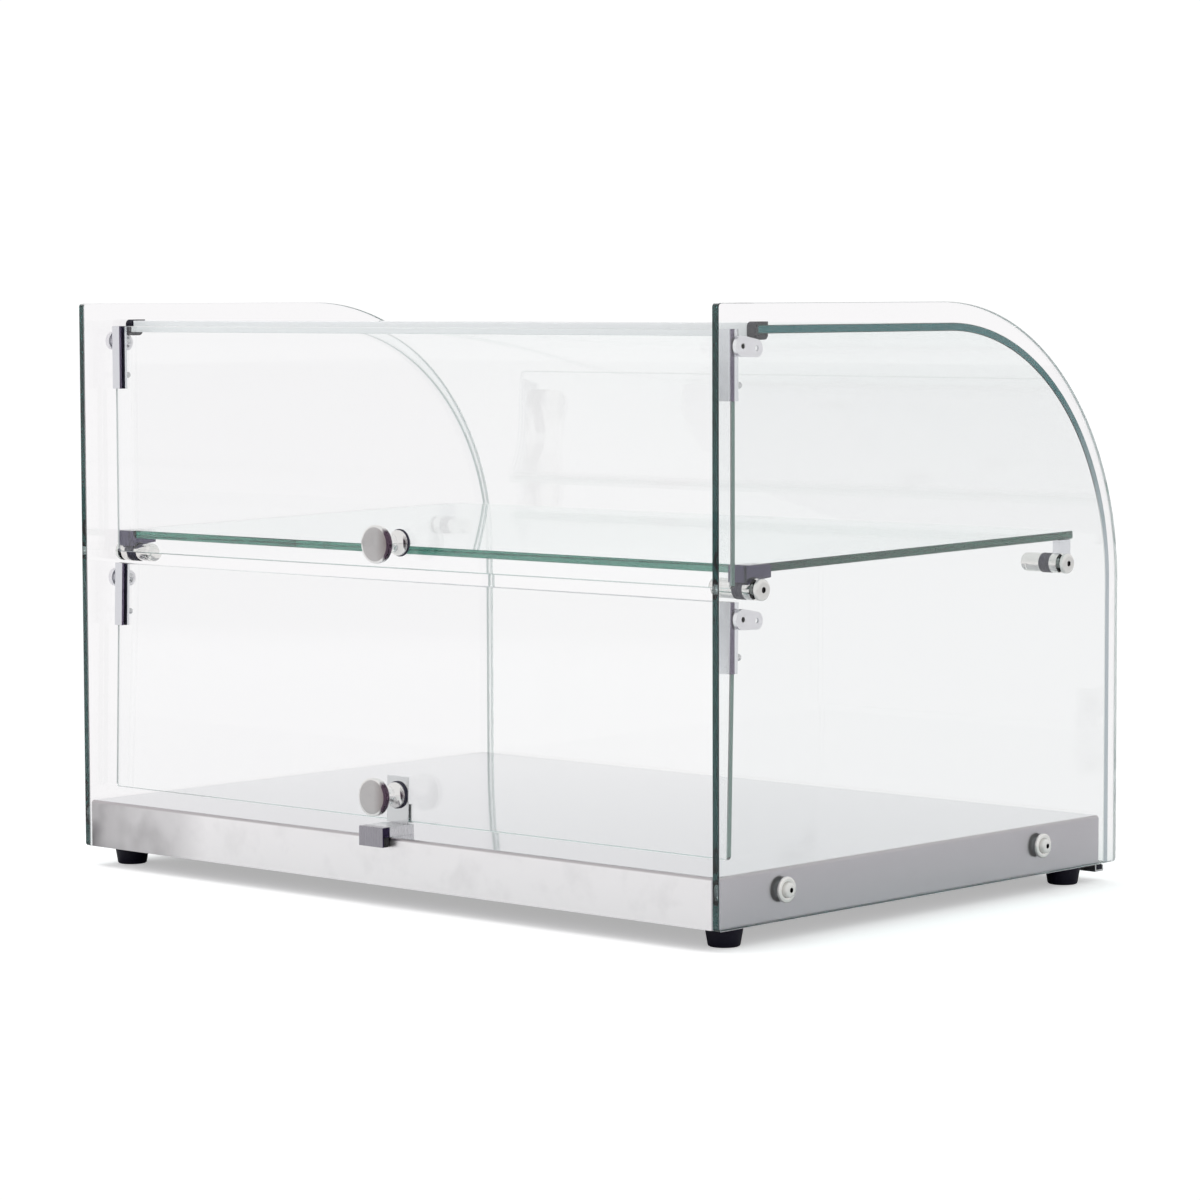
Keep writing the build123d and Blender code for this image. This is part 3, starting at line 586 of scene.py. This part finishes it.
def mouldedDark(name, colour, roughness, grain, specular):
    look = mouldedLook
    material, tree, shader, where = newFinish(name, colour, 0.0, roughness)
    marks = addMarks(tree, where, **look["marks"])
    grainy = noiseNode(tree, where, grain, look["grainDetail"])
    spread = (roughness + step for step in look["roughnessSpread"])
    rough = rangeNode(tree, grainy, *look["grainRange"], *spread)
    times, more = look["dust"]
    pale = tuple(part * times + more for part in colour)
    specks = mathNode(tree, "MULTIPLY", marks["Specks"], look["specks"])
    dust = mathNode(tree, "ADD", scaledSmear(tree, marks, look["smear"]), specks)
    surface = blend(tree, dust, colour, pale)
    plug(tree, shader, {"Base Color": surface, "Roughness": rough, "Specular IOR Level": specular})
    addBump(tree, shader, grainy, *look["bump"])
    return material


trimLook = {
    "colour": (0.97, 0.97, 0.985),
    "roughness": (0.2, 0.26),
    "ior": 1.46,
    "clear": 0.15,
    "stretch": (4.0, 1600.0, 1600.0),
    "shade": (0.93, 0.94, 0.94),
}


def clearTrim(look):
    material, tree, shader, where = newFinish("clearTrim", look["colour"], 0.0, look["roughness"][0])
    lines = addBrush(tree, where, look["stretch"])["Lines"]
    plug(tree, shader, {
        "Transmission Weight": look["clear"],
        "IOR": look["ior"],
        "Roughness": rangeNode(tree, lines, 0.0, 1.0, *look["roughness"]),
    })
    shadowRay = addNode(tree, "ShaderNodeLightPath")["Is Shadow Ray"]
    clear = addNode(tree, "ShaderNodeBsdfTransparent", {"Color": look["shade"]})
    showSurface(tree, mixShaders(tree, shadowRay, shader.outputs[0], clear[0]))
    return material


# how far brushing is stretched along each axis: small along the lines
lengthwise = (5.0, 1500.0, 1500.0)
upright = (1800.0, 1800.0, 30.0)
fromFrontToBack = (1500.0, 30.0, 1500.0)

finishes = {
    "glass": floatGlass("floatGlass", glassLook, "tint"),
    "sideGlass": floatGlass("sideGlass", glassLook, "sideTint"),
    "doorGlass": floatGlass("doorGlass", glassLook, "doorTint"),
    "paneEnds": cutEnds("paneEnds", endLook),
    "doorEnds": cutEnds("doorEnds", endLook),
    "pan": panSteel(steelLook),
    "gutter": brushedPlate("gutterSteel", (0.52, 0.52, 0.53), lengthwise, (0.28, 0.42)),
    "plate": brushedPlate("hingeSteel", (0.93, 0.92, 0.95), fromFrontToBack, (0.30, 0.42)),
    "head": turnedChrome("screwHeads", (0.84, 0.83, 0.81), 0.14, 0.10, metallic=0.5),
    # painted dark reflection: the steel rests are coloured near black
    "rest": turnedChrome("restSteel", (0.07, 0.065, 0.11), 0.16, 0.10),
    "clamp": turnedChrome("clampChrome", (0.72, 0.73, 0.76), 0.10, 0.10, shade=clampShade),
    "catch": brushedPlate("catchSteel", (0.36, 0.345, 0.38), upright, (0.22, 0.34), catchShade),
    "strike": brushedPlate("strikeSteel", (0.70, 0.71, 0.72), upright, (0.10, 0.18)),
    "chrome": turnedChrome("fittingChrome", (0.80, 0.79, 0.77), 0.06, 0.10),
    "zinc": turnedChrome("zincSteel", (0.62, 0.62, 0.63), 0.26, 0.15),
    "knob": knobMetal(knobLook),
    "rubber": mouldedDark("blackRubber", (0.004, 0.003, 0.012), 0.5, 1500.0, 0.2),
    "plastic": mouldedDark("darkPlastic", (0.026, 0.024, 0.048), 0.42, 2200.0, 0.4),
    "magnet": mouldedDark("magnetBlack", (0.008, 0.008, 0.010), 0.45, 1800.0, 0.4),
    "trim": clearTrim(trimLook),
}
print("materials ready:", len(finishes))


# mesh helpers

meshing = {
    "paneWeld": 2e-6,  # metres between points that are joined
    "solidWeld": 1e-6,
    "flatten": 0.6,  # degrees between facets that are merged
    "bevelFrom": 40,
    "bevelSegments": 2,
    "smoothPane": 20,  # degrees up to which an edge is shaded smooth
    "smoothSolid": 28,
    "smoothTurned": 32,
    "arrisNormal": (0.3, 0.95),  # how far the normals of ground arrises lean
    "endNormal": 0.98,
}


def place(name, mesh, finish, body, node, slot):
    piece = bpy.data.objects.new(name, mesh)
    scene.collection.objects.link(piece)
    if finish is not None:
        mesh.materials.clear()
        mesh.materials.append(finishes[finish])
    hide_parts(node)
    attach(piece, body)
    return piece


def softenEdges(mesh, angle):
    mesh.polygons.foreach_set("use_smooth", [True] * len(mesh.polygons))
    mesh.set_sharp_from_angle(angle=math.radians(angle))


def markFaces(mesh, name, isMarked):
    marks = [float(isMarked(face.normal)) for face in mesh.polygons]
    mesh.attributes.new(name, "FLOAT", "FACE").data.foreach_set("value", marks)


def arcPoints(centre, radius, steps, start, sweep=quarter):
    angles = [start + sweep * i / steps for i in range(steps + 1)]
    return [(centre[0] + radius * math.cos(a), centre[1] + radius * math.sin(a)) for a in angles]


def circlePoints(centre, radius, steps):
    return arcPoints(centre, radius, steps, 0.0, 4 * quarter)[:-1]


def roundedRectangle(low, high, radius, steps=6):
    centres = [
        (high[0] - radius, high[1] - radius),
        (low[0] + radius, high[1] - radius),
        (low[0] + radius, low[1] + radius),
        (high[0] - radius, low[1] + radius),
    ]
    return [p for i, centre in enumerate(centres) for p in arcPoints(centre, radius, steps, i * quarter)]


# a flat pane with holes and ground arrises, drawn in u and v and laid by the matrix
def cutPane(name, outline, holes, thickness, arris, matrix):
    curve = bpy.data.curves.new(name, "CURVE")
    curve.dimensions = "2D"
    curve.fill_mode = "BOTH"
    for ring in [outline] + [list(reversed(hole)) for hole in holes]:
        spline = curve.splines.new("POLY")
        spline.points.add(len(ring) - 1)
        for point, (u, v) in zip(spline.points, ring):
            point.co = (u, v, 0, 1)
        spline.use_cyclic_u = True
    curve.extrude = thickness / 2 - arris
    curve.bevel_depth = arris
    curve.bevel_resolution = 0
    curve.offset = -arris
    flat = bpy.data.objects.new(name, curve)
    scene.collection.objects.link(flat)
    mesh = bpy.data.meshes.new_from_object(flat.evaluated_get(depsgraph()))
    bpy.data.objects.remove(flat)
    work = bmesh.new()
    work.from_mesh(mesh)
    bmesh.ops.remove_doubles(work, verts=work.verts, dist=meshing["paneWeld"])
    bmesh.ops.recalc_face_normals(work, faces=work.faces)
    work.to_mesh(mesh)
    work.free()
    softenEdges(mesh, meshing["smoothPane"])
    low, high = meshing["arrisNormal"]
    markFaces(mesh, "arris", lambda normal: low < abs(normal.z) < high)
    mesh.transform(matrix)
    return mesh


def axes(first, second, third):
    return Matrix((first, second, third)).transposed().to_4x4()


sidewaysPlane = axes((0, 1, 0), (0, 0, 1), (1, 0, 0))  # drawn in Y and Z, thick along X
doorPlane = axes((1, 0, 0), (0, 0, 1), (0, -1, 0))  # drawn in X and Z, thick along Y


# glass

case = {
    "rear": -193.0 * mm,
    "front": 199.3 * mm,
    "bottom": 12.5 * mm,
    "top": 374.2 * mm,
    "innerX": 275.0 * mm,
    "thickness": 5.0 * mm,
    "noseRadius": 181.5 * mm,
    "noseSteps": 180,
    "corner": 2.5 * mm,
    "cornerSteps": 5,
    "arris": 0.45 * mm,
    "screwHoles": ((-133.0 * mm, 31.0 * mm), (119.0 * mm, 31.0 * mm)),
    "screwHole": 4.45 * mm,
    "screwHoleSteps": 24,
    "pegHoles": ((-156.9 * mm, 208.5 * mm), (141.4 * mm, 208.5 * mm)),
    "pegHole": 2.7 * mm,
    "pegHoleSteps": 20,
    "seamed": {"flat": 0.9, "front": 0.05, "roof": 0.3},  # normals of the seamed edge, front and roof
}


def sideOutline(size):
    rear, front, bottom, top = (size[key] for key in ("rear", "front", "bottom", "top"))
    corner, steps, nose = size["corner"], size["cornerSteps"], size["noseRadius"]
    return (
        arcPoints((front - corner, bottom + corner), corner, steps, -quarter)
        + arcPoints((front - nose, top - nose), nose, size["noseSteps"], 0.0)
        + arcPoints((rear + corner, top - corner), corner, steps, quarter)
        + arcPoints((rear + corner, bottom + corner), corner, steps, 2 * quarter)
    )


def isSeamed(normal):
    limit = case["seamed"]
    return abs(normal.x) < limit["flat"] and (normal.y > limit["front"] or normal.z > limit["roof"])


def addSidePanes(size):
    holes = [circlePoints(centre, size["screwHole"], size["screwHoleSteps"]) for centre in size["screwHoles"]]
    holes += [circlePoints(centre, size["pegHole"], size["pegHoleSteps"]) for centre in size["pegHoles"]]
    for side, sign in (("right", 1), ("left", -1)):
        name = "side_pane_" + side
        middle = sign * (size["innerX"] + size["thickness"] / 2)
        matrix = Matrix.Translation((middle, 0, 0)) @ sidewaysPlane
        mesh = cutPane(name, sideOutline(size), holes, size["thickness"], size["arris"], matrix)
        markFaces(mesh, "seamed", isSeamed)
        place(name, mesh, "sideGlass", "root", "side_glass_" + side, "glass")


def markEnds(pane, finish):
    pane.data.materials.append(finishes[finish])
    isEnd = [int(abs(face.normal.x) > meshing["endNormal"]) for face in pane.data.polygons]
    pane.data.polygons.foreach_set("material_index", isEnd)


bentPane = {
    "rear": -155.0 * mm,
    "roof": 361.3 * mm,
    "front": 193.9 * mm,
    "bottom": 12.5 * mm,
    "halfWidth": 274.6 * mm,
    "radius": 166.7 * mm,
    "steps": 180,
}


def addBentPane(size, thickness, arris):
    rear, roof, front, bottom = (size[key] for key in ("rear", "roof", "front", "bottom"))
    radius, steps = size["radius"], size["steps"]
    centre = (front - radius, roof - radius)
    under, within = roof - thickness, front - thickness
    outline = (
        [(front - arris, bottom), (front, bottom + arris)]
        + arcPoints(centre, radius, steps, 0.0)
        + [(rear + arris, roof), (rear, roof - arris), (rear, under + arris), (rear + arris, under)]
        + arcPoints(centre, radius - thickness, steps, quarter, -quarter)
        + [(within, bottom + arris), (within + arris, bottom)]
    )
    mesh = cutPane("bent_pane", outline, [], 2 * size["halfWidth"], arris, sidewaysPlane)
    markEnds(place("bent_pane", mesh, "glass", "root", "bent_front_glass", "glass"), "paneEnds")


shelf = {
    "halfWidth": 273.0 * mm,
    "depth": 317.6 * mm,
    "rear": -160.1 * mm,
    "seat": 217.8 * mm,
    "rise": 5.6 * mm,
}


def addShelf(size, thickness, corner, arris):
    tilt = math.asin(size["rise"] / size["depth"])
    outline = roundedRectangle((-size["halfWidth"], 0), (size["halfWidth"], size["depth"]), corner)
    matrix = (
        Matrix.Translation((0, size["rear"], size["seat"]))
        @ Matrix.Rotation(tilt, 4, "X")
        @ Matrix.Translation((0, 0, thickness / 2))
    )
    mesh = cutPane("shelf_pane", outline, [], thickness, arris, matrix)
    place("shelf_pane", mesh, "glass", "root", "shelf_glass", "glass")


door = {
    "outerY": -171.7 * mm,
    "pivotY": -168.3 * mm,
    "halfWidth": 268.5 * mm,
    "thickness": 4.0 * mm,
    "height": 150.0 * mm,
    "aboveEdge": 9.8 * mm,
    "knobDrop": 123.8 * mm,
    "knobHole": 2.2 * mm,
    "holeSteps": 20,
    "pivots": {"upper": 349.3 * mm, "lower": 191.7 * mm},
    "lean": {"upper": 0.0, "lower": -1.5},  # degrees about X
    "stand": {"upper": 0.0, "lower": 0.8 * mm},
}


def leanOf(which):
    pivot = Vector((0, door["pivotY"], door["pivots"][which]))
    turn = Matrix.Rotation(math.radians(door["lean"][which]), 4, "X")
    return Matrix.Translation(pivot) @ turn @ Matrix.Translation(-pivot)


def addDoorPane(which, size, corner, arris):
    name = which + "_door_pane"
    thickness = size["thickness"]
    pivot = size["pivots"][which]
    top = pivot + size["aboveEdge"]
    reach = size["halfWidth"]
    outline = roundedRectangle((-reach, top - size["height"]), (reach, top), corner)
    hole = circlePoints((0, pivot - size["knobDrop"]), size["knobHole"], size["holeSteps"])
    matrix = leanOf(which) @ Matrix.Translation((0, size["outerY"] + thickness / 2, 0)) @ doorPlane
    mesh = cutPane(name, outline, [hole], thickness, arris, matrix)
    pane = place(name, mesh, "doorGlass", which + "_door", which + "_door_glass", "glass")
    markEnds(pane, "doorEnds")


addSidePanes(case)
addBentPane(bentPane, case["thickness"], case["arris"])
addShelf(shelf, case["thickness"], case["corner"], case["arris"])
for which in ("upper", "lower"):
    addDoorPane(which, door, case["corner"], case["arris"])
print("glass cut: two sides, the bent pane, the shelf and two doors")


# pieces refined from the CAD solids

def refine(name, node, finish, slot, bevel, body):
    mesh = cadNodes[node].data.copy()
    mesh.name = name
    work = bmesh.new()
    work.from_mesh(mesh)
    bmesh.ops.remove_doubles(work, verts=work.verts, dist=meshing["solidWeld"])
    flatten = math.radians(meshing["flatten"])
    bmesh.ops.dissolve_limit(work, angle_limit=flatten, verts=work.verts, edges=work.edges)
    work.to_mesh(mesh)
    work.free()
    for attribute in [a.name for a in mesh.attributes if a.name in ("custom_normal", "sharp_face")]:
        mesh.attributes.remove(mesh.attributes[attribute])
    piece = place(name, mesh, finish, body, node, slot)
    softenEdges(mesh, meshing["smoothSolid"])
    if bevel:
        rounding = piece.modifiers.new("rounding", "BEVEL")
        rounding.width = bevel
        rounding.segments = meshing["bevelSegments"]
        rounding.limit_method = "ANGLE"
        rounding.angle_limit = math.radians(meshing["bevelFrom"])
    return piece


standOff = Matrix.Scale(0.9998, 4, (1, 0, 0))  # 0.05 mm of air between the hinge plates and the side panes
refinedPieces = [
    ("pan_body", "base_pan", "pan", "brushed_steel", 0.25, "root"),
    ("gutter_strip", "front_gutter", "gutter", "brushed_steel", 0.2, "root"),
    ("roof_trim_strip", "roof_edge_trim", "trim", "clear_plastic", 0.3, "root"),
    ("roof_cushion_caps", "roof_corner_cushions", "rubber", "rubber", 0.15, "root"),
    ("hinge_plate_set", "hinge_plates", "plate", "polished_steel", 0.1, "root"),
    ("shelf_rest_blocks", "shelf_corner_rests", "rest", "polished_steel", 0.3, "root"),
    ("shelf_pad_blocks", "shelf_front_pads", "clamp", "polished_steel", 0.3, "root"),
    ("keeper_plate", "catch_keeper", "catch", "polished_steel", 0.15, "root"),
    ("magnet_block", "catch_magnet", "magnet", "magnet", 0.3, "root"),
    ("upper_clamp_channels", "upper_door_clamps", "clamp", "polished_steel", 0.25, "upper_door"),
    ("lower_clamp_channels", "lower_door_clamps", "clamp", "polished_steel", 0.25, "lower_door"),
    ("upper_liner_strips", "upper_clamp_liners", "plastic", "dark_plastic", 0.0, "upper_door"),
    ("lower_liner_strips", "lower_clamp_liners", "plastic", "dark_plastic", 0.0, "lower_door"),
    ("strike_plate", "strike_clip", "strike", "polished_steel", 0.15, "lower_door"),
]
for name, node, finish, slot, bevel, body in refinedPieces:
    piece = refine(name, node, finish, slot, bevel * mm, body)
    if node == "hinge_plates":
        piece.data.transform(standOff)
print("refined from the solids:", len(refinedPieces), "pieces")


# turned fittings

def meshFrom(name, work):
    mesh = bpy.data.meshes.new(name)
    work.to_mesh(mesh)
    work.free()
    softenEdges(mesh, meshing["smoothTurned"])
    return mesh


# rings are (radius, height) in mm round the section; those of a hexagon socket add "hex"
def turnedMesh(name, rings, steps, satinRings=()):
    work = bmesh.new()
    satin = work.faces.layers.float.new("satin")
    turning = work.verts.layers.float.new("turning")
    loops = []
    for radius, height, *shape in rings:
        if radius == 0:
            loops.append([work.verts.new((0, 0, height * mm))])
            continue
        loop = []
        for i in range(steps):
            angle = 4 * quarter * i / steps
            reach = radius * mm
            if shape:
                reach = reach / math.cos((angle % (math.pi / 3)) - math.pi / 6)
            vert = work.verts.new((reach * math.cos(angle), reach * math.sin(angle), height * mm))
            vert[turning] = reach
            loop.append(vert)
        loops.append(loop)
    pairs = list(zip(loops, loops[1:]))
    if len(loops[0]) > 1:
        pairs.append((loops[-1], loops[0]))
    for index, (low, high) in enumerate(pairs):
        for i in range(steps):
            j = (i + 1) % steps
            corners = [low[i % len(low)], low[j % len(low)], high[j % len(high)], high[i % len(high)]]
            corners = [v for k, v in enumerate(corners) if v not in corners[:k]]
            if len(corners) > 2:
                face = work.faces.new(corners)
                face[satin] = 1.0 if index in satinRings else 0.0
    bmesh.ops.recalc_face_normals(work, faces=work.faces)
    return meshFrom(name, work)


# copies a fitting onto the points of a grid, and turns the copies on the left side to face outwards
def makeSpreadTree():
    tree, start, end = newGroup(
        "GeometryNodeTree",
        "spreadFittings",
        [("Geometry", "NodeSocketGeometry", None), ("Spacing", "NodeSocketVector", (1, 1, 0)),
         ("Centre", "NodeSocketVector", (0, 0, 0)), ("Grid Turn", "NodeSocketVector", (0, 0, 0)),
         ("Turn Left Side", "NodeSocketFloat", 1.0), ("Columns", "NodeSocketInt", 2),
         ("Rows", "NodeSocketInt", 2), ("Material", "NodeSocketMaterial", None)],
        [("Geometry", "NodeSocketGeometry")],
    )
    spacing = splitAxes(tree, start["Spacing"])
    grid = addNode(tree, "GeometryNodeMeshGrid", {
        "Size X": spacing["X"], "Size Y": spacing["Y"],
        "Vertices X": start["Columns"], "Vertices Y": start["Rows"],
    })
    points = addNode(tree, "GeometryNodeTransform", {
        "Geometry": grid["Mesh"], "Translation": start["Centre"], "Rotation": start["Grid Turn"],
    })
    across = splitAxes(tree, addNode(tree, "GeometryNodeInputPosition")[0])["X"]
    halfTurn = mathNode(tree, "MULTIPLY", mathNode(tree, "LESS_THAN", across, 0.0), math.pi)
    chosen = mathNode(tree, "MULTIPLY", halfTurn, start["Turn Left Side"])
    euler = addNode(tree, "ShaderNodeCombineXYZ", {"Z": chosen})
    turn = addNode(tree, "FunctionNodeEulerToRotation", {0: euler[0]})
    copies = addNode(tree, "GeometryNodeInstanceOnPoints", {
        "Points": points["Geometry"], "Instance": start["Geometry"], "Rotation": turn[0],
    })
    real = addNode(tree, "GeometryNodeRealizeInstances", {"Geometry": copies["Instances"]})
    values = {"Geometry": real["Geometry"], "Material": start["Material"]}
    plug(tree, end, {"Geometry": addNode(tree, "GeometryNodeSetMaterial", values)["Geometry"]})
    return tree


spreadTree = makeSpreadTree()
alongX = axes((0, 0, -1), (0, 1, 0), (1, 0, 0))  # turned round Z, then laid along +X
alongY = axes((1, 0, 0), (0, 0, -1), (0, 1, 0))
alongMinusY = axes((1, 0, 0), (0, 0, 1), (0, -1, 0))
plainLayout = {"Grid Turn": (0, 0, 0), "Turn Left Side": 1.0, "Columns": 2, "Rows": 2}


def layoutOf(size):
    return {**plainLayout, "Spacing": size["spacing"], "Centre": size["centre"]}


def spreadPiece(name, mesh, finish, layout, body, node, slot, lean=None):
    maker = bpy.data.objects.new(name + "Maker", mesh)
    scene.collection.objects.link(maker)
    spreading = maker.modifiers.new("spreading", "NODES")
    spreading.node_group = spreadTree
    inputs = [item for item in spreadTree.interface.items_tree if item.in_out == "INPUT"]
    sockets = {item.name: item.identifier for item in inputs}
    for label, value in {**layout, "Material": finishes[finish]}.items():
        spreading[sockets[label]] = value
    made = bpy.data.meshes.new_from_object(maker.evaluated_get(depsgraph()))
    bpy.data.objects.remove(maker)
    made.name = name
    if lean is not None:
        made.transform(lean)
    return place(name, made, None, body, node, slot)


foot = {
    "spacing": (524.0 * mm, 333.3 * mm, 0),
    "centre": (0, -0.85 * mm, 0),
    "steps": 48,
    "profile": [(2.2, 7.0), (5.4, 7.0), (5.4, 0.5), (5.8, 0.0), (8.2, 0.0), (8.85, 0.12), (9.45, 0.55),
                (9.72, 1.3), (11.57, 12.0), (11.52, 12.6), (11.1, 13.0), (2.2, 13.0)],
}
mesh = turnedMesh("foot", foot["profile"], foot["steps"])
spreadPiece("feet_set", mesh, "rubber", layoutOf(foot), "root", "feet", "rubber")

baseScrew = {
    "spacing": (560.0 * mm, 252.0 * mm, 0),
    "centre": (0, -7.0 * mm, 31.0 * mm),
    "steps": 48,
    "cup": [(2.6, 0.0), (7.8, 0.0), (7.8, 1.0), (7.66, 1.5), (7.3, 1.86), (6.8, 2.0), (5.3, 2.0),
            (4.95, 1.9), (4.7, 1.6), (4.66, 1.2), (2.6, 1.2)],
    "screw": [(0, -14.0), (1.9, -14.0), (2.5, -13.3), (2.5, 1.2), (4.6, 1.2), (4.6, 3.1), (4.45, 3.7),
              (4.0, 4.2), (3.3, 4.5), (2.3, 4.6), (1.6, 4.6, "hex"), (1.45, 4.45, "hex"),
              (1.45, 2.2, "hex"), (0, 2.0)],
    "socket": (11, 12),  # rings of the socket, painted black as shade
}
mesh = turnedMesh("cupWasher", baseScrew["cup"], baseScrew["steps"])
mesh.transform(alongX)
spreadPiece("cup_washers", mesh, "chrome", layoutOf(baseScrew), "root", "base_cup_washers", "chrome")
mesh = turnedMesh("sideScrew", baseScrew["screw"], baseScrew["steps"], baseScrew["socket"])
mesh.transform(alongX)
spreadPiece("side_screws", mesh, "head", layoutOf(baseScrew), "root", "base_screws", "chrome")

peg = {
    "spacing": (560.0 * mm, 298.3 * mm, 0),
    "centre": (0, -7.75 * mm, 208.5 * mm),
    "steps": 42,
    "barrel": [(0, -33.9), (3.4, -33.9), (4.5, -33.65), (5.3, -33.1), (5.8, -32.4), (6.0, -31.5),
               (6.0, -29.6), (5.62, -29.3), (5.62, -28.7), (6.0, -28.4), (6.0, -19.3), (5.8, -18.9),
               (2.5, -18.9), (2.5, 2.0), (0, 2.0)],
    "collar": [(2.55, -18.9), (6.1, -18.9), (6.3, -18.6), (6.3, -17.0), (6.05, -16.7), (6.05, -16.2),
               (6.3, -15.9), (6.3, -13.9), (6.05, -13.6), (6.05, -13.1), (6.3, -12.8), (6.3, -11.2),
               (6.1, -10.9), (2.55, -10.9)],
    "flange": [(2.55, -10.9), (5.9, -10.9), (6.25, -10.75), (6.4, -10.4), (6.4, -5.05), (2.55, -5.05)],
    "gasket": [(2.55, 0.0), (6.0, 0.0), (6.0, 0.5), (2.55, 0.5)],
    "cap": [(0, 2.05), (2.55, 2.05), (2.55, 0.5), (6.2, 0.5), (6.4, 0.7), (6.4, 2.2), (6.2, 2.8),
            (5.7, 3.25), (5.0, 3.48), (4.2, 3.5), (1.8, 3.5, "hex"), (1.7, 3.35, "hex"),
            (1.7, 2.55, "hex"), (0, 2.5)],
    "socket": (11, 12),
}
for part, node, finish, slot in (
    ("barrel", "shelf_pegs", "chrome", "chrome"), ("collar", "peg_collars", "plastic", "dark_plastic"),
    ("flange", "peg_flanges", "chrome", "chrome"), ("gasket", "peg_gaskets", "rubber", "rubber"),
    ("cap", "peg_caps", "head", "chrome"),
):
    mesh = turnedMesh("peg" + part.title(), peg[part], peg["steps"], peg["socket"] if part == "cap" else ())
    mesh.transform(alongX)
    spreadPiece("peg_" + part + "_set", mesh, finish, layoutOf(peg), "root", node, slot)

clampScrew = {
    "spacing": (531.2 * mm, 23.4 * mm, 0),  # four per door, two in each clamp
    "fromPivot": -10.95 * mm,
    "start": -167.2 * mm,
    "steps": 30,
    "profile": [(0, 0.0), (1.5, 0.0), (2.0, 0.5), (2.0, 6.3), (1.85, 6.65), (1.5, 6.8), (1.0, 6.8, "hex"),
                (1.0, 5.0, "hex"), (0, 4.8)],
}

knob = {
    "profile": [
        (0, 11.0), (2.05, 11.0), (2.05, 0.0), (7.8, 0.0), (8.0, 0.2), (8.0, 1.3), (7.85, 1.6), (6.6, 2.1),
        (5.3, 3.0), (4.5, 4.0), (3.95, 5.2), (3.6, 6.4), (3.55, 8.6), (3.7, 11.0), (4.2, 12.8),
        (5.2, 14.4), (6.8, 15.8), (8.8, 16.7), (11.2, 17.1), (11.8, 17.4), (12.0, 17.9), (12.0, 20.6),
        (11.85, 21.1), (11.4, 21.35), (10.9, 21.42), (10.6, 21.42), (10.4, 21.5), (8.0, 21.62),
        (5.0, 21.68), (2.0, 21.7), (0, 21.7),
    ],
    "satin": range(25, 30),
    "steps": 72,
    "washer": [(2.2, 0.0), (8.4, 0.0), (8.6, 0.2), (8.6, 1.1), (8.4, 1.3), (2.2, 1.3)],
    "washerThickness": 1.3 * mm,
    "washerSteps": 48,
    "innerWasher": [(2.2, 0.0), (5.2, 0.0), (5.4, 0.15), (5.4, 0.85), (5.2, 1.0), (2.2, 1.0)],
    "innerThickness": 1.0 * mm,
    "innerSteps": 40,
    "screw": [(0, -16.2), (1.6, -16.2), (2.0, -15.7), (2.0, 0.0), (4.0, 0.0), (4.0, 1.5), (3.75, 2.1),
              (3.2, 2.5), (2.4, 2.6), (1.3, 2.6, "hex"), (1.3, 1.1, "hex"), (0, 1.0)],
    "screwSteps": 36,
}


def atKnob(which, stand, turn):
    seat = (0, door["outerY"] + stand, door["pivots"][which] - door["knobDrop"])
    return leanOf(which) @ Matrix.Translation(seat) @ turn


def joined(name, meshes):
    work = bmesh.new()
    for mesh in meshes:
        work.from_mesh(mesh)
    return meshFrom(name, work)


def addClampScrews(which, size):
    mesh = turnedMesh("clampScrew", size["profile"], size["steps"])
    mesh.transform(alongY)
    centre = (0, size["start"], door["pivots"][which] + size["fromPivot"])
    layout = {
        **plainLayout, "Spacing": size["spacing"], "Centre": centre,
        "Grid Turn": (quarter, 0, 0), "Turn Left Side": 0.0,
    }
    spreadPiece(which + "_clamp_screw_set", mesh, "zinc", layout, which + "_door",
                which + "_clamp_screws", "plain_steel", leanOf(which))


def addKnob(which, size):
    body = which + "_door"
    stand, inside = door["stand"][which], door["thickness"]
    head = turnedMesh(which + "Knob", size["profile"], size["steps"], size["satin"])
    head.transform(atKnob(which, -stand - size["washerThickness"], alongMinusY))
    place(which + "_knob_head", head, "knob", body, which + "_knob", "chrome")
    outer = turnedMesh("washer", size["washer"], size["washerSteps"])
    outer.transform(atKnob(which, -stand, alongMinusY))
    inner = turnedMesh("innerWasher", size["innerWasher"], size["innerSteps"])
    inner.transform(atKnob(which, inside, alongY))
    place(which + "_knob_washer_pair", joined("knobWashers", [outer, inner]), "plastic", body,
          which + "_knob_washers", "dark_plastic")
    screw = turnedMesh("knobScrew", size["screw"], size["screwSteps"])
    screw.transform(atKnob(which, inside + size["innerThickness"], alongY))
    place(which + "_knob_bolt", screw, "zinc", body, which + "_knob_screw", "plain_steel")


for which in ("upper", "lower"):
    addClampScrews(which, clampScrew)
    addKnob(which, knob)
print("turned fittings made")


# CAD nodes that keep their shape

keptNodes = {
    "gutter_cord": "rubber", "gutter_rivets": "zinc", "foot_washers": "zinc", "foot_screws": "zinc",
    "foot_nuts": "zinc", "base_bushes": "plastic", "base_nuts": "zinc", "hinge_pins": "zinc",
}
for node, finish in keptNodes.items():
    cadNodes[node].data.materials.clear()
    cadNodes[node].data.materials.append(finishes[finish])
